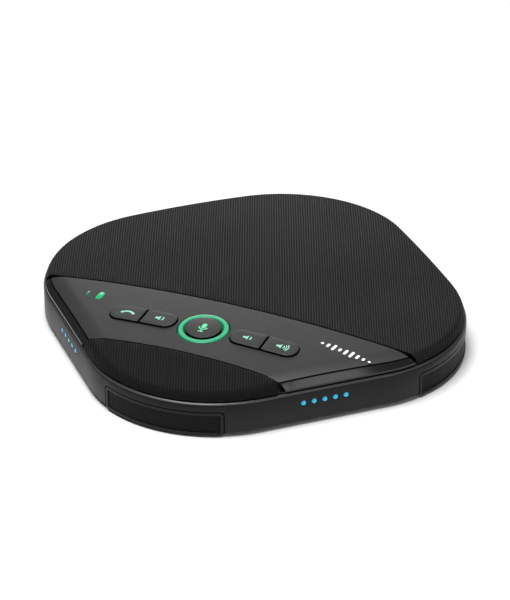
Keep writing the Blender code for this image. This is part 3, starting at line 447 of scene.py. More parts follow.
def closeMiddle(bm, inset, shares):
    # rings that shrink from the boundary at this inset to a small face in the middle
    edges = [e for e in bm.edges if e.is_boundary and edgeInset(e.verts[0].co) > inset - 0.0002]
    before = 1.0
    for share in shares:
        ring = drawOut(bm, edges, (0.0, 0.0, 0.0))
        bmesh.ops.scale(bm, verts=vertsOf(ring), vec=(share / before, share / before, 1.0))
        edges, before = ring, share
    bmesh.ops.contextual_create(bm, geom=edges)


def keepSide(bm, point, normal):
    bmesh.ops.bisect_plane(bm, geom=bm.verts[:] + bm.edges[:] + bm.faces[:], dist=0.0000001,
                           plane_co=point, plane_no=normal, clear_inner=True)


def sliceUp(bm, spacing):
    # cuts a block into a grid, so that it can follow the dome
    for axis in (0, 1):
        low = min(v.co[axis] for v in bm.verts)
        high = max(v.co[axis] for v in bm.verts)
        count = max(1, round((high - low) / spacing))
        for number in range(1, count):
            point, normal = [0.0] * 3, [0.0] * 3
            point[axis], normal[axis] = low + (high - low) * number / count, 1.0
            bmesh.ops.bisect_plane(bm, geom=bm.verts[:] + bm.edges[:] + bm.faces[:], dist=0.0000001,
                                   plane_co=point, plane_no=normal)


def drape(bm, above=0.0):
    # lowers what was modelled at the crown's height onto the dome
    for vert in bm.verts:
        if vert.co.z > above:
            vert.co.z += domeHeight(vert.co.x, vert.co.y) - crown


def shadeRound(mesh):
    mesh.shade_smooth()
    mesh.set_sharp_from_angle(angle=math.radians(sharpAbove))


def addObject(name, bm, materials):
    bmesh.ops.recalc_face_normals(bm, faces=bm.faces[:])
    mesh = bpy.data.meshes.new(name)
    bm.to_mesh(mesh)
    bm.free()
    for material in materials:
        mesh.materials.append(finishes[material])
    shadeRound(mesh)
    obj = bpy.data.objects.new(name, mesh)
    scene.collection.objects.link(obj)
    return obj


def applyModifiers(obj):
    # makes the modifiers' result the object's own mesh
    graph = bpy.context.evaluated_depsgraph_get()
    mesh = bpy.data.meshes.new_from_object(obj.evaluated_get(graph), depsgraph=graph)
    obj.modifiers.clear()
    obj.data = mesh
    return obj


def settle(obj):
    shadeRound(applyModifiers(obj).data)
    return obj


def cutAway(obj, cutters):
    for cutter in cutters:
        away = obj.modifiers.new(cutter.name, "BOOLEAN")
        away.operation = "DIFFERENCE"
        away.object = cutter
    settle(obj)
    for cutter in cutters:
        bpy.data.objects.remove(cutter)


def softenEdges(obj, width, segments=2, angle=50.0):
    bevel = obj.modifiers.new("softEdges", "BEVEL")
    bevel.width = width
    bevel.segments = segments
    bevel.limit_method = "ANGLE"
    bevel.angle_limit = math.radians(angle)
    bevel.use_clamp_overlap = False
    bevel.loop_slide = False
    bevel.miter_outer = "MITER_ARC"
    return settle(obj)


def evenShade(obj):
    # lets the large faces set the shading, so that small rounded edges don't tilt it
    even = obj.modifiers.new("evenShade", "WEIGHTED_NORMAL")
    even.keep_sharp = True
    applyModifiers(obj)


def thicken(obj, wall):
    skin = obj.modifiers.new("wall", "SOLIDIFY")
    skin.thickness = wall
    skin.offset = -1.0
    skin.material_offset_rim = 1
    skin.use_even_offset = True
    return settle(obj)


def faceUp(bm):
    bmesh.ops.recalc_face_normals(bm, faces=bm.faces[:])
    top = max(bm.faces, key=lambda face: face.calc_center_median().z)
    if top.normal.z < 0:
        bmesh.ops.reverse_faces(bm, faces=bm.faces[:])


def paint(bm, slot, test=None):
    # gives the faces that pass the test another of the piece's finishes
    bm.normal_update()
    for face in bm.faces:
        if test is None or test(face):
            face.material_index = slot


def standing(face):
    return abs(face.normal.z) < 0.6


def edgesWhere(bm, test):
    return [edge for edge in bm.edges if all(test(vert.co) for vert in edge.verts)]


def edgesAlong(bm, axis):
    return [e for e in bm.edges if abs((e.verts[0].co - e.verts[1].co).normalized()[axis]) > 0.99]


def roundOff(bm, edges, offset, segments):
    bmesh.ops.bevel(bm, geom=edges, offset=offset, segments=segments, profile=0.5, affect="EDGES",
                    material=-1, clamp_overlap=True)


def block(bm, low, high):
    made = bmesh.ops.create_cube(bm, size=1.0)["verts"]
    bmesh.ops.scale(bm, verts=made, vec=[b - a for a, b in zip(low, high)])
    bmesh.ops.translate(bm, verts=made, vec=[(a + b) / 2 for a, b in zip(low, high)])
    return made


def disc(bm, x, y, radius, low, high, segments=48):
    made = bmesh.ops.create_cone(bm, cap_ends=True, segments=segments, radius1=radius, radius2=radius,
                                 depth=high - low)["verts"]
    bmesh.ops.translate(bm, verts=made, vec=(x, y, (low + high) / 2))
    return made


def piece(obj, body, slotName, *nodes):
    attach(obj, body)
    if nodes:
        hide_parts(*nodes)


# lower casing
base = {
    "wall": 0.0024, "lip": 0.0008, "chamfer": 0.0012,
    "ledge": 0.0026, "ledgeLow": 0.0031, "ledgeHigh": 0.0047,
    "edge": 0.00018,         # small rounding along the lip and the chamfer
    "recessGap": 0.00040,    # gap round each corner grille, a dark line from painted shade on its walls
    "recessClear": 0.0003,   # between a recess and the back of its grille
    "recessBelow": 0.005,    # the recesses are open below
    "past": 0.002,           # how far the cutters stand out of the case
}
grille = {
    "sweep": 28.5,           # degrees each side of the corner
    "wall": 0.0011, "endRound": 0.0013, "chamfer": 0.0006,
    "border": 0.00115, "line": 0.00030, "sunk": 0.00022,    # the frame, and the line down to the mesh
    "steps": 30,
}
grilleLow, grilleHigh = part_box("corner_grille_front")
window = {"half": 0.007, "deep": 0.0036, "past": 0.001, "margin": 0.0011}    # in front of each microphone
port = {"width": 0.0089, "height": 0.0032, "deep": 0.0044, "clear": 0.0003, "round": 0.0013}
corners = {"front": 0.0, "right": 90.0, "back": 180.0, "left": 270.0}
bars = {
    "pitch": 0.00395, "dots": 5, "radius": 0.00090, "proud": 0.00005, "round": 0.00035,
    "holeGap": 0.00022, "holeHalf": 0.004,
    "barHalf": 0.0105, "barDeep": 0.0024, "barTall": 0.0026, "barRound": 0.0003,    # the bar behind the dots
    "wallGap": 0.0003, "lensGap": 0.0002,
}
barSides = {"front_right": 45.0, "front_left": -45.0}
barLow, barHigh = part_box("light_bar_front_right")
dotZ = (barLow.z + barHigh.z) / 2


def cornerBand(sweep, inner, outer, low, high, endRound, steps):
    # a curved plate standing at the front corner
    bm = bmesh.new()
    start = math.radians(-90.0 - sweep)
    spots = [(outer, high), (inner, high), (inner, low), (outer, low)]
    across, along = math.cos(start), math.sin(start)
    edges = chain(bm, [(r * across, r * along - cornerAway, height) for r, height in spots], True)
    swingEdges(bm, edges, (0.0, -cornerAway), 2 * sweep, steps)
    bmesh.ops.holes_fill(bm, edges=[e for e in bm.edges if e.is_boundary], sides=4)
    bmesh.ops.recalc_face_normals(bm, faces=bm.faces[:])

    def atEnd(co):
        return abs(abs(math.degrees(math.atan2(co.x, -(co.y + cornerAway)))) - sweep) < 0.01

    ends = [e for e in edgesWhere(bm, atEnd) if abs(e.verts[0].co.z - e.verts[1].co.z) < weld]
    roundOff(bm, ends, endRound, 4)
    return bm


def makeBaseShell():
    low, high = shellLow.z, shellHigh.z
    wall, deep = base["wall"], base["wall"] + base["ledge"]
    chamfer, lip, edge = base["chamfer"], base["lip"], base["edge"]
    profile = [
        (chamfer + edge, low), (chamfer - edge, low + edge), (edge, low + chamfer - edge),
        (0.0, low + chamfer + edge), (0.0, high - lip - edge), (edge, high - lip + edge),
        (lip - edge, high - edge), (lip + edge, high),
        (wall, high), (wall, base["ledgeHigh"]), (deep, base["ledgeHigh"]), (deep, base["ledgeLow"]),
        (wall, base["ledgeLow"]), (wall, low),
    ]
    bm = caseHoop(profile, True)

    def onHighlightEdge(face):
        middle = face.calc_center_median()
        onLip = high - lip < middle.z < high - nearly
        onChamfer = low + nearly < middle.z < low + chamfer
        return (onLip or onChamfer) and edgeInset(middle) < wall - 0.0001

    # the lip and the lower chamfer take the lighter finish, a painted highlight
    paint(bm, 1, onHighlightEdge)
    shellFinishes = ["casePlastic", "highlightEdgePlastic", "paintedShade"]
    shell = addObject("baseShell", bm, shellFinishes)
    cutters = []
    for corner, degrees in corners.items():
        tools = {"recess_": recessTool(low), "window_": windowTool()}
        for name, bm in tools.items():
            swingAll(bm, degrees)
            cutters.append(addObject(name + corner, bm, shellFinishes))
    for side, degrees in barSides.items():
        bm = dotHolesTool()
        swingAll(bm, degrees)
        cutters.append(addObject("dotHoles_" + side, bm, shellFinishes))
    bm = portTool()
    swingAll(bm, 135.0)
    cutters.append(addObject("portHole", bm, shellFinishes))
    cutAway(shell, cutters)
    piece(shell, "case", "case_plastic", "base_shell")


# what is cut from the casing, each made at the front and then swung round
def recessTool(low):
    radius, gap = case["cornerRadius"], base["recessGap"]
    sweep = grille["sweep"] + math.degrees(gap / radius)
    bm = cornerBand(sweep, radius - grille["wall"] - base["recessClear"], radius + base["past"],
                    low - base["recessBelow"], grilleHigh.z + gap, grille["endRound"] + gap, grille["steps"])
    # the recess walls take the near-black finish: painted shade in the gap
    paint(bm, 2)
    return bm


def windowTool():
    micLow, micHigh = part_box("microphone_front")
    bm = bmesh.new()
    block(bm, (-window["half"], -apex - window["past"], micLow.z + window["margin"]),
          (window["half"], -apex + window["deep"], micHigh.z - window["margin"]))
    return bm


def dotHolesTool():
    bm = bmesh.new()
    for across in dotPlaces():
        made = disc(bm, 0.0, 0.0, bars["radius"] + bars["holeGap"], -bars["holeHalf"], bars["holeHalf"], 32)
        turnVerts(bm, made, 90.0, "X")
        bmesh.ops.translate(bm, verts=made, vec=(across, -flatHalf, dotZ))
    # the walls of the dot holes take the near-black finish: painted shade
    paint(bm, 2)
    return bm


def portTool():
    low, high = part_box("usb_port")
    middle = (low.z + high.z) / 2
    clear = port["clear"]
    bm = bmesh.new()
    block(bm, (-port["width"] / 2 - clear, -flatHalf - base["past"], middle - port["height"] / 2 - clear),
          (port["width"] / 2 + clear, -flatHalf + port["deep"], middle + port["height"] / 2 + clear))
    roundOff(bm, edgesAlong(bm, 1), port["round"] + clear, 6)
    return bm


def dotPlaces():
    return [(number - (bars["dots"] - 1) / 2) * bars["pitch"] for number in range(bars["dots"])]


def makeCornerGrilles():
    radius = case["cornerRadius"]
    for corner, degrees in corners.items():
        bm = cornerBand(grille["sweep"], radius - grille["wall"], radius, grilleLow.z, grilleHigh.z,
                        grille["endRound"], grille["steps"])

        def outside(co):
            return math.hypot(co.x, co.y + cornerAway) > radius - 2 * nearly

        lowerEdge = edgesWhere(bm, lambda co: outside(co) and co.z < grilleLow.z + nearly)
        roundOff(bm, lowerEdge, grille["chamfer"], 1)
        bm.normal_update()
        field = [f for f in bm.faces if all(outside(v.co) for v in f.verts)]
        bmesh.ops.inset_region(bm, faces=field, thickness=grille["border"], depth=0.0, use_even_offset=False)
        again = [f for f in field if f.is_valid]
        slope = bmesh.ops.inset_region(bm, faces=again, thickness=grille["line"], depth=-grille["sunk"],
                                       use_even_offset=False)["faces"]
        for face in again:
            face.material_index = 1
        # the slope down to the mesh takes the near-black finish: painted shade in the step
        for face in slope:
            face.material_index = 2
        swingAll(bm, degrees)
        obj = addObject("cornerGrille_" + corner, bm, ["casePlastic", "micMesh", "paintedShade"])
        piece(obj, "case", "mic_mesh", "corner_grille_" + corner)


def makeLightDots():
    face = flatHalf - base["wall"] - bars["wallGap"]
    reach = flatHalf + bars["proud"] - face - bars["lensGap"]
    for side, degrees in barSides.items():
        bm = bmesh.new()
        low = dotZ - bars["barTall"] / 2
        made = block(bm, (-bars["barHalf"], -face, low),
                     (bars["barHalf"], -face + bars["barDeep"], low + bars["barTall"]))
        roundOff(bm, edgesOf(made), bars["barRound"], 2)
        for across in dotPlaces():
            before = set(bm.verts)
            lens = disc(bm, 0.0, 0.0, bars["radius"], 0.0, reach, 24)
            rim = [e for e in edgesOf(lens) if all(v.co.z > reach - nearly for v in e.verts)]
            roundOff(bm, rim, bars["round"], 3)
            added = [v for v in bm.verts if v not in before]
            turnVerts(bm, added, 90.0, "X")
            bmesh.ops.translate(bm, verts=added, vec=(across, -face - bars["lensGap"], dotZ))
        swingAll(bm, degrees)
        obj = addObject("lightDots_" + side, bm, ["blueGlow"])
        piece(obj, "case", "blue_light", "light_bar_" + side)


# domed top
top = {
    "wall": 0.0012, "groove": 0.0007, "frontGroove": 0.00035,
    "rimIn": 0.0036, "rimDown": 0.00835, "rimSteps": 12, "rimSlope": 0.125,
    "rings": (0.94, 0.87, 0.79, 0.70, 0.61, 0.52, 0.43, 0.34, 0.25, 0.16, 0.08, 0.03),
    "backY": -0.0235, "frontY": -0.0574, "frontRadius": 0.325,
    "bevelLow": 0.0006, "bevelHigh": 0.0023, "land": 0.0007,
    "rollOff": 0.0013, "rollWidth": 0.0060, "rollSteps": 6,
    "scoreWide": 0.00050, "scoreDeep": 0.00035, "scoreSlant": 0.28,    # fine groove above the bevel
    "cornerRound": 0.0018, "cornerCuts": 7, "endNear": 0.037,          # the front grille's two ends
    "fabricEdge": 0.00030, "panelEdge": 0.00014,
}


def bow(x):
    return top["frontRadius"] - math.sqrt(top["frontRadius"] ** 2 - x * x)


def cutAlongBow(bm, y, keepBack):
    # the edge between panel and front grille is an arc: straighten it, cut, and bend it back
    for vert in bm.verts:
        vert.co.y += bow(vert.co.x)
    keepSide(bm, (0.0, y, 0.0), (0.0, 1.0 if keepBack else -1.0, 0.0))
    for vert in bm.verts:
        vert.co.y -= bow(vert.co.x)


def tidyCut(bm):
    border = vertsOf(edge for edge in bm.edges if edge.is_boundary)
    bmesh.ops.remove_doubles(bm, verts=border, dist=0.00025)
    bmesh.ops.dissolve_degenerate(bm, edges=bm.edges[:], dist=nearly)


def fabricSkin():
    profile = []
    for step in range(top["rimSteps"] + 1):
        angle = math.pi / 2 * step / top["rimSteps"]
        inset = top["rimIn"] * (1 - math.cos(angle))
        drop = top["rimDown"] * (1 - math.sin(angle)) - top["rimSlope"] * (top["rimIn"] - inset)
        profile.append((inset, crown - drop))
    bm = caseHoop(profile, False)
    closeMiddle(bm, top["rimIn"], top["rings"])
    drape(bm)
    keepSide(bm, (0.0, 0.0, seamHigh), (0.0, 0.0, 1.0))
    return bm


def makeGrilles():
    bm = fabricSkin()
    keepSide(bm, (0.0, top["backY"] + top["groove"] / 2, 0.0), (0.0, 1.0, 0.0))
    tidyCut(bm)
    faceUp(bm)
    # the cut edges of the cloth take the second, near-black finish: painted shade in the grooves
    main = thicken(addObject("mainGrille", bm, ["mainFabric", "paintedShade"]), top["wall"])
    softenEdges(main, top["fabricEdge"])
    piece(main, "case", "acoustic_fabric", "main_grille")
    bm = fabricSkin()
    y = top["frontY"] - top["frontGroove"] / 2
    cutAlongBow(bm, y, False)
    roundCorners(bm, y)
    tidyCut(bm)
    faceUp(bm)
    # its cut edges take the near-black finish too: painted shade in the grooves
    front = thicken(addObject("frontGrille", bm, ["frontFabric", "paintedShade"]), top["wall"])
    softenEdges(front, top["fabricEdge"])
    piece(front, "case", "acoustic_fabric", "front_grille")


def roundCorners(bm, y):
    # the front grille's two sharp ends, 45 degrees each, rounded with a fan of small cuts
    radius, cuts = top["cornerRound"], top["cornerCuts"]
    endX = flatHalf * math.sqrt(2) + y - bow(top["endNear"])
    corner = Vector((endX, y - bow(endX), 0.0))
    half = math.radians(22.5)
    middle = corner + Vector((-math.cos(half), -math.sin(half), 0.0)) * (radius / math.sin(half))
    for side in (1.0, -1.0):
        for step in range(1, cuts + 1):
            angle = math.radians(-45.0 + 135.0 * step / (cuts + 1))
            out = Vector((math.cos(angle), math.sin(angle), 0.0))
            point = middle + out * radius
            keepSide(bm, (point.x * side, point.y, 0.0), (-out.x * side, -out.y, 0.0))


def panelSkin():
    profile = [(top["bevelLow"], crown - 0.002), (top["bevelLow"], crown)]
    score = top["bevelHigh"] + top["scoreWide"]
    start = top["bevelHigh"]

    def fall(inset):
        share = min(1.0, (inset - start) / top["rollWidth"])
        return top["rollOff"] * (1 - share) ** 2

    slant = top["scoreSlant"] * top["scoreWide"]
    for inset, sunk in ((start, 0.0), (start + slant, top["scoreDeep"]), (score - slant, top["scoreDeep"]),
                        (score, 0.0), (score + 0.0002, 0.0)):
        profile.append((inset, crown - fall(inset) - sunk))
    for step in range(1, top["rollSteps"] + 1):
        inset = score + (top["rollWidth"] - top["scoreWide"]) * step / top["rollSteps"]
        profile.append((inset, crown - fall(inset)))
    bm = caseHoop(profile, False)
    closeMiddle(bm, profile[-1][0], top["rings"])
    drape(bm)
    for vert in bm.verts:
        if edgeInset(vert.co) < (top["bevelLow"] + top["bevelHigh"]) / 2:
            lowest = vert.co.z < domeHeight(vert.co.x, vert.co.y) - 0.001
            vert.co.z = seamHigh if lowest else seamHigh + top["land"]

    def inScore(face):
        return all(start - nearly < edgeInset(vert.co) < score + nearly for vert in face.verts)

    paint(bm, 2, lambda face: all(edgeInset(vert.co) < start + nearly for vert in face.verts))
    # the fine groove takes the near-black finish: painted shade in the groove
    paint(bm, 1, inScore)
    return bm


keys = {
    "gap": 0.00035, "raise": 0.0006, "outerRound": 0.0038, "innerRound": 0.0004, "edge": 0.00014,
    "depth": 0.0085, "flange": 0.0006,
    "stemRadius": 0.0015, "stemLong": 0.0010, "stemGap": 0.0001,
    "flat": 0.001,           # above a key's underside, where it starts to follow the dome
    "grid": 0.0020,
}
cutTop = crown + 0.01        # the cutters' upper end, clear of the dome
ring = {
    "inner": 0.0070, "outer": 0.0091, "gap": 0.0006, "flange": 0.0006, "raise": 0.00025, "edge": 0.00035,
    "steps": 96,
}
lights = {"rounding": {"link_light_window": 0.00055, "battery_light_window": 0.00095}, "gap": 0.00012,
          "proud": 0.00008, "edge": 0.00010}
keySides = {"call_key": -1, "speaker_key": 1, "volume_down_key": -1, "volume_up_key": 1}    # of its pair


def keySpan(name):
    # left and right of the visible cap: the CAD key's box without its flange, which stops short at the slit
    low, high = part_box(name)
    if keySides[name] < 0:
        return low.x + keys["flange"], high.x
    return low.x, high.x - keys["flange"]


def keyBlock(name, low, high, edge):
    # a block with the far corners fully rounded
    left, right = keySpan(name)
    half = keys["depth"] / 2
    bm = bmesh.new()
    block(bm, (left, keyRowY - half, low), (right, keyRowY + half, high))
    farX = left if keySides[name] < 0 else right
    far = [e for e in edgesAlong(bm, 2) if abs(e.verts[0].co.x - farX) < nearly]
    roundOff(bm, far, keys["outerRound"], 10)
    near = [e for e in edgesAlong(bm, 2) if abs(e.verts[0].co.x - farX) > half]
    roundOff(bm, near, keys["innerRound"], 3)
    roundOff(bm, edgesWhere(bm, lambda co: co.z > high - weld), edge, 3)
    return bm


def pairOpening(first, second):
    # one pill-shaped opening that a pair of keys shares
    half = keys["depth"] / 2 + keys["gap"]
    bm = bmesh.new()
    block(bm, (keySpan(first)[0] - keys["gap"], keyRowY - half, seamHigh),
          (keySpan(second)[1] + keys["gap"], keyRowY + half, cutTop))
    roundOff(bm, edgesAlong(bm, 2), keys["outerRound"] + keys["gap"], 10)
    return bm


def makePanel():
    bm = panelSkin()
    cutAlongBow(bm, top["frontY"] + top["frontGroove"] / 2, True)
    keepSide(bm, (0.0, top["backY"] - top["groove"] / 2, 0.0), (0.0, -1.0, 0.0))
    tidyCut(bm)
    faceUp(bm)
    panelFinishes = ["panelPlastic", "paintedShade", "endGloss"]
    panel = thicken(addObject("controlPanel", bm, panelFinishes), top["wall"])
    tools = {"callPair": pairOpening("call_key", "speaker_key"),
             "volumePair": pairOpening("volume_down_key", "volume_up_key")}
    tools["ring"] = bmesh.new()
    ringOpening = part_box("ring_light_guide")[1].x - ring["flange"]
    disc(tools["ring"], 0.0, keyRowY, ringOpening, seamHigh, cutTop, ring["steps"])
    for node, rounding in lights["rounding"].items():
        low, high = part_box(node)
        away = lights["gap"]
        tools[node] = bmesh.new()
        block(tools[node], (low.x - away, low.y - away, seamHigh), (high.x + away, high.y + away, cutTop))
        roundOff(tools[node], edgesAlong(tools[node], 2), rounding + away, 6)
    cutters = []
    for name, bm in tools.items():
        # the walls of each opening take the near-black finish: painted shade round the keys and lights
        paint(bm, 1)
        cutters.append(addObject(name + "_opening", bm, panelFinishes))
    cutAway(panel, cutters)
    softenEdges(panel, top["panelEdge"], angle=70.0)
    evenShade(panel)
    piece(panel, "case", "panel_plastic", "control_panel")


def makeKeys():
    for name in keySides:
        low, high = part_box(name)
        bottom = low.z + keys["stemLong"]
        bm = keyBlock(name, bottom, crown + keys["raise"], keys["edge"])
        sliceUp(bm, keys["grid"])
        # the key's upright sides take the near-black finish: painted shade on the walls
        paint(bm, 1, standing)
        drape(bm, bottom + keys["flat"])
        disc(bm, (low.x + high.x) / 2, keyRowY, keys["stemRadius"], low.z, bottom - keys["stemGap"], 20)
        first, *others = name.split("_")
        obj = addObject(first + "".join(word.capitalize() for word in others), bm, ["keyPlastic", "paintedShade"])
        piece(obj, name, "key_plastic", name)
    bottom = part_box("mute_key")[0].z
    bm = bmesh.new()
    disc(bm, 0.0, keyRowY, ring["inner"] - ring["gap"], bottom, crown + keys["raise"], 72)
    roundOff(bm, edgesWhere(bm, lambda co: co.z > crown), keys["edge"], 3)
    # the mute key's upright sides take the near-black finish: painted shade
    paint(bm, 1, standing)
    drape(bm, bottom + keys["flat"])
    obj = addObject("muteKey", bm, ["keyPlastic", "paintedShade"])
    piece(obj, "mute_key", "key_plastic", "mute_key")


def makeRing():
    bm = bmesh.new()
    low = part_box("ring_light_guide")[0].z
    high = crown + ring["raise"]
    spots = [(ring["outer"], low), (ring["outer"], high), (ring["inner"], high), (ring["inner"], low)]
    edges = chain(bm, [(r, keyRowY, height) for r, height in spots], True)
    turnedShape(bm, edges, 0.0, keyRowY, ring["steps"])

    def fromAxis(vert):
        return math.hypot(vert.co.x, vert.co.y - keyRowY)

    rims = [e for e in edgesWhere(bm, lambda co: co.z > high - weld)
            if abs(fromAxis(e.verts[0]) - fromAxis(e.verts[1])) < nearly]
    roundOff(bm, rims, ring["edge"], 3)
    drape(bm, low + keys["flat"])
    piece(addObject("ringLight", bm, ["ringGlow"]), "case", "green_light", "ring_light_guide")


# lit symbols and the printed mark
symbol = {"lift": 0.00001, "thick": 0.00007, "line": 0.00045}
cone = {"back": 0.0013, "boxEnd": 0.0004, "neck": 0.00035, "mouth": 0.0006, "half": 0.0005, "flare": 2.5}


def bar(bm, x, y, long, wide, turn, low, high, rounding=0.45):
    # a flat bar with rounded ends; rounding is a share of its narrow side
    made = block(bm, (-long / 2, -wide / 2, low), (long / 2, wide / 2, high))
    upright = [e for e in edgesOf(made) if abs(e.verts[0].co.z - e.verts[1].co.z) > nearly]
    rounded = bmesh.ops.bevel(bm, geom=upright, offset=min(long, wide) * rounding, segments=4, profile=0.5,
                              affect="EDGES", material=-1)["verts"]
    turnVerts(bm, rounded, turn)
    bmesh.ops.translate(bm, verts=rounded, vec=(x, y, 0.0))


def arc(bm, x, y, radius, wide, start, sweep, low, high):
    # a flat curved bar, from a start angle through a sweep, both in degrees
    across, along = math.cos(math.radians(start)), math.sin(math.radians(start))
    inner, outer = radius - wide / 2, radius + wide / 2
    spots = [(inner, low), (outer, low), (outer, high), (inner, high)]
    before = set(bm.verts)
    edges = chain(bm, [(x + r * across, y + r * along, height) for r, height in spots], True)
    swingEdges(bm, edges, (x, y), sweep, max(4, round(abs(sweep) / 9)))
    made = set(bm.verts) - before
    ends = [e for e in bm.edges if e.is_boundary and e.verts[0] in made]
    bmesh.ops.holes_fill(bm, edges=ends, sides=4)


def horn(bm, x, y, low, high):
    # the loudspeaker outline: a small box that widens to the right
    near, far = y - cone["half"], y + cone["half"]
    block(bm, (x - cone["back"], near, low), (x - cone["boxEnd"], far, high))
    for vert in block(bm, (x - cone["neck"], near, low), (x + cone["mouth"], far, high)):
        if vert.co.x > x:
            vert.co.y = y + (vert.co.y - y) * cone["flare"]


def makeSymbols():
    low, high = crown + keys["raise"] + symbol["lift"], crown + keys["raise"] + symbol["thick"]
    line = symbol["line"]
    centres = {}
    for name in keySides:
        left, right = keySpan(name)
        centres[name] = (left + right) / 2

    def handset(bm):
        x, y = centres["call_key"], keyRowY
        arc(bm, x + 0.00035, y - 0.0018, 0.0025, 0.00085, 40.0, 100.0, low, high)
        bar(bm, x + 0.00245, y - 0.00020, 0.0012, 0.0010, -50.0, low, high, 0.3)
        bar(bm, x - 0.00175, y - 0.00020, 0.0012, 0.0010, 50.0, low, high, 0.3)

    def speaker(bm):
        x, y = centres["speaker_key"] - 0.0005, keyRowY
        horn(bm, x, y, low, high)
        arc(bm, x + 0.0004, y, 0.0014, line, -42.0, 84.0, low, high)

    def volumeDown(bm):
        x, y = centres["volume_down_key"] - 0.0003, keyRowY
        horn(bm, x, y, low, high)
        arc(bm, x + 0.0004, y, 0.0013, line, -38.0, 76.0, low, high)

    def volumeUp(bm):
        x, y = centres["volume_up_key"] - 0.0006, keyRowY
        horn(bm, x, y, low, high)
        for radius in (0.0012, 0.0020, 0.0028):
            arc(bm, x + 0.0004, y, radius, line * 0.85, -40.0, 80.0, low, high)

    for name, body, draw in (("handsetSymbol", "call_key", handset),
                             ("speakerSymbol", "speaker_key", speaker),
                             ("volumeDownSymbol", "volume_down_key", volumeDown),
                             ("volumeUpSymbol", "volume_up_key", volumeUp)):
        bm = bmesh.new()
        draw(bm)
        drape(bm)
        piece(addObject(name, bm, ["iconGlow"]), body, "green_light")
    bm = bmesh.new()
    bar(bm, 0.0, keyRowY + 0.0008, 0.0016, 0.0030, 0.0, low, high, 0.48)
    arc(bm, 0.0, keyRowY + 0.0003, 0.0016, line, 190.0, 160.0, low, high)
    bar(bm, 0.0, keyRowY - 0.0020, line, 0.0009, 0.0, low, high, 0.1)
    bar(bm, 0.0, keyRowY - 0.0027, 0.0020, line, 0.0, low, high, 0.4)
    drape(bm)
    piece(addObject("microphoneSymbol", bm, ["micGlow"]), "mute_key", "green_light")


def makeStatusLights():
    for node, name, finish in (("link_light_window", "linkLight", "linkGlow"),
                               ("battery_light_window", "batteryLight", "batteryGlow")):
        low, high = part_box(node)
        bm = bmesh.new()
        block(bm, (low.x, low.y, low.z), (high.x, high.y, crown + lights["proud"]))
        roundOff(bm, edgesAlong(bm, 2), lights["rounding"][node], 6)
        roundOff(bm, edgesWhere(bm, lambda co: co.z > crown), lights["edge"], 2)
        drape(bm, low.z + keys["flat"])
        piece(addObject(name, bm, [finish]), "case", "green_light", node)


mark = {"x": 0.0508, "y": -0.0342, "turn": -8.0, "pitch": 0.00235, "wide": 0.00105, "thick": 0.00006,
        "heights": (0.0012, 0.0022, 0.0034, 0.0018, 0.0030, 0.0036, 0.0024, 0.0016, 0.0010)}


def makeMark():
    # a plain row of level bars where a name would be
    bm = bmesh.new()
    count = len(mark["heights"])
    turn = math.radians(mark["turn"])
    for number, height in enumerate(mark["heights"]):
        along = (number - (count - 1) / 2) * mark["pitch"]
        bar(bm, mark["x"] + along * math.cos(turn), mark["y"] + along * math.sin(turn), mark["wide"], height,
            mark["turn"], crown + symbol["lift"], crown + mark["thick"])
    drape(bm)
    piece(addObject("levelMark", bm, ["printedInk"]), "case", "panel_plastic")


# underside
foot = {
    # inset from the side and height above the underside, from the side inwards, with a fine round groove
    "profile": ((0.0, 0.00035), (0.00012, 0.00010), (0.0004, 0.0), (0.0012, 0.0), (0.0014, 0.0002),
                (0.0019, 0.0002), (0.0021, 0.0)),
    "steps": 48,
}


def makeFeet():
    for corner in corners:
        low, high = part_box("rubber_foot_" + corner)
        x, y = (low.x + high.x) / 2, (low.y + high.y) / 2
        radius = (high.x - low.x) / 2
        bm = bmesh.new()
        outline = [(radius - inset, low.z + rise) for inset, rise in foot["profile"]]
        spots = [(0.0, high.z), (radius, high.z), *outline, (0.0, low.z)]
        edges = chain(bm, [(x + r, y, height) for r, height in spots])
        turnedShape(bm, edges, x, y, foot["steps"])
        obj = addObject("rubberFoot_" + corner, bm, ["footRubber"])
        piece(obj, "case", "foot_rubber", "rubber_foot_" + corner)


makeBaseShell()
makeCornerGrilles()
makeLightDots()
print("lower casing done")
makeGrilles()
makePanel()
print("domed top done")
makeKeys()
makeRing()
makeSymbols()
makeStatusLights()
makeMark()
print("keys, lights and symbols done")
makeFeet()
print("underside done")

# CAD nodes that stay, with their finishes
kept = {
    "bottom_cover": "coverPlastic", "top_frame": "innerPlastic", "case_screw": "turnedSteel",
    "key_board_screw": "turnedSteel", "key_board": "blackBoard", "main_board": "circuitBoard",
    "wireless_antenna": "circuitBoard", "battery_pack": "shrinkWrap", "ribbon_cable": "flexFilm",
    "speaker_basket": "turnedSteel", "speaker_magnet": "sinteredFerrite", "speaker_cone": "paperPulp",
    "speaker_gasket": "footRubber", "microphone_boot": "footRubber", "microphone": "turnedSteel",
    "usb_port": "turnedSteel", "call_switch": "switchPlastic", "speaker_switch": "switchPlastic",
    "mute_switch": "switchPlastic", "volume_down_switch": "switchPlastic",
    "volume_up_switch": "switchPlastic",
}
for name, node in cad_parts.items():
    if node.hide_render:
        continue
    family = max((key for key in kept if name.startswith(key)), key=len)
    node.data.materials.clear()
    node.data.materials.append(finishes[kept[family]])
print("finishes on the kept nodes done")

# floor, light and camera
studio = {
    "floorSize": 6.0, "skyLight": 0.06,
    "cameraLens": 157.6, "away": 0.966, "turn": 24.17, "rise": 29.54, "aimZ": -0.00075,
    "shiftX": 0.0041, "shiftY": 0.0478,
}
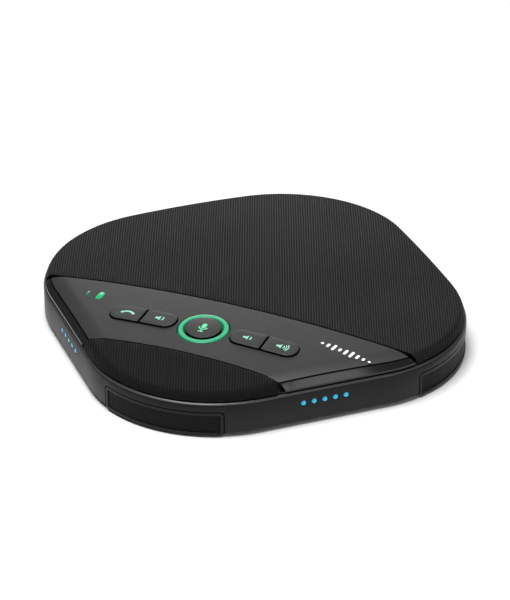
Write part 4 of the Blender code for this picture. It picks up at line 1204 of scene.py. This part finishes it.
# place, point aimed at, side and power of each lamp
lamps = {
    "topBox": ((-0.10, -0.25, 1.3), (0.0, 0.0, 0.0), 0.9, 25.0),
    "backBox": ((-0.47, 1.05, 0.36), (0.0, 0.0, 0.01), 0.5, 1.8),
    "rightBox": ((0.95, -0.43, 0.52), (0.0, 0.0, 0.01), 0.5, 2.0),
}


def makeFloor():
    bm = bmesh.new()
    bmesh.ops.create_grid(bm, x_segments=8, y_segments=8, size=studio["floorSize"] / 2)
    floor = bpy.data.objects.new("floor", bpy.data.meshes.new("floor"))
    bm.to_mesh(floor.data)
    bm.free()
    scene.collection.objects.link(floor)
    paper = Finish("floorPaper", roughness=0.8)
    tone = paper.noise(0.4, detail=2.0)
    paper.set("Base Color", paper.blend(tone, (0.86, 0.86, 0.86), (0.88, 0.88, 0.88)))
    floor.data.materials.append(paper.material)


def makeLight():
    world = bpy.data.worlds.new("studioSky")
    scene.world = world
    world.use_nodes = True
    world.node_tree.nodes["Background"].inputs["Color"].default_value = (1.0, 1.0, 1.0, 1.0)
    world.node_tree.nodes["Background"].inputs["Strength"].default_value = studio["skyLight"]
    for name, (place, aim, size, power) in lamps.items():
        data = bpy.data.lights.new(name, "AREA")
        data.size = size
        data.energy = power
        lamp = bpy.data.objects.new(name, data)
        lamp.location = place
        lamp.rotation_euler = (Vector(aim) - Vector(place)).to_track_quat("-Z", "Y").to_euler()
        scene.collection.objects.link(lamp)


def makeCamera():
    turn, rise = math.radians(studio["turn"]), math.radians(studio["rise"])
    back = Vector((math.sin(turn) * math.cos(rise), -math.cos(turn) * math.cos(rise), math.sin(rise)))
    lens = bpy.data.cameras.new("camera")
    lens.lens = studio["cameraLens"]
    lens.shift_x, lens.shift_y = studio["shiftX"], studio["shiftY"]
    lens.clip_start, lens.clip_end = 0.05, 50.0
    camera = bpy.data.objects.new("camera", lens)
    camera.location = Vector((0.0, 0.0, studio["aimZ"])) + back * studio["away"]
    camera.rotation_euler = (-back).to_track_quat("-Z", "Y").to_euler()
    scene.collection.objects.link(camera)
    scene.camera = camera


makeFloor()
makeLight()
makeCamera()
print("studio done")
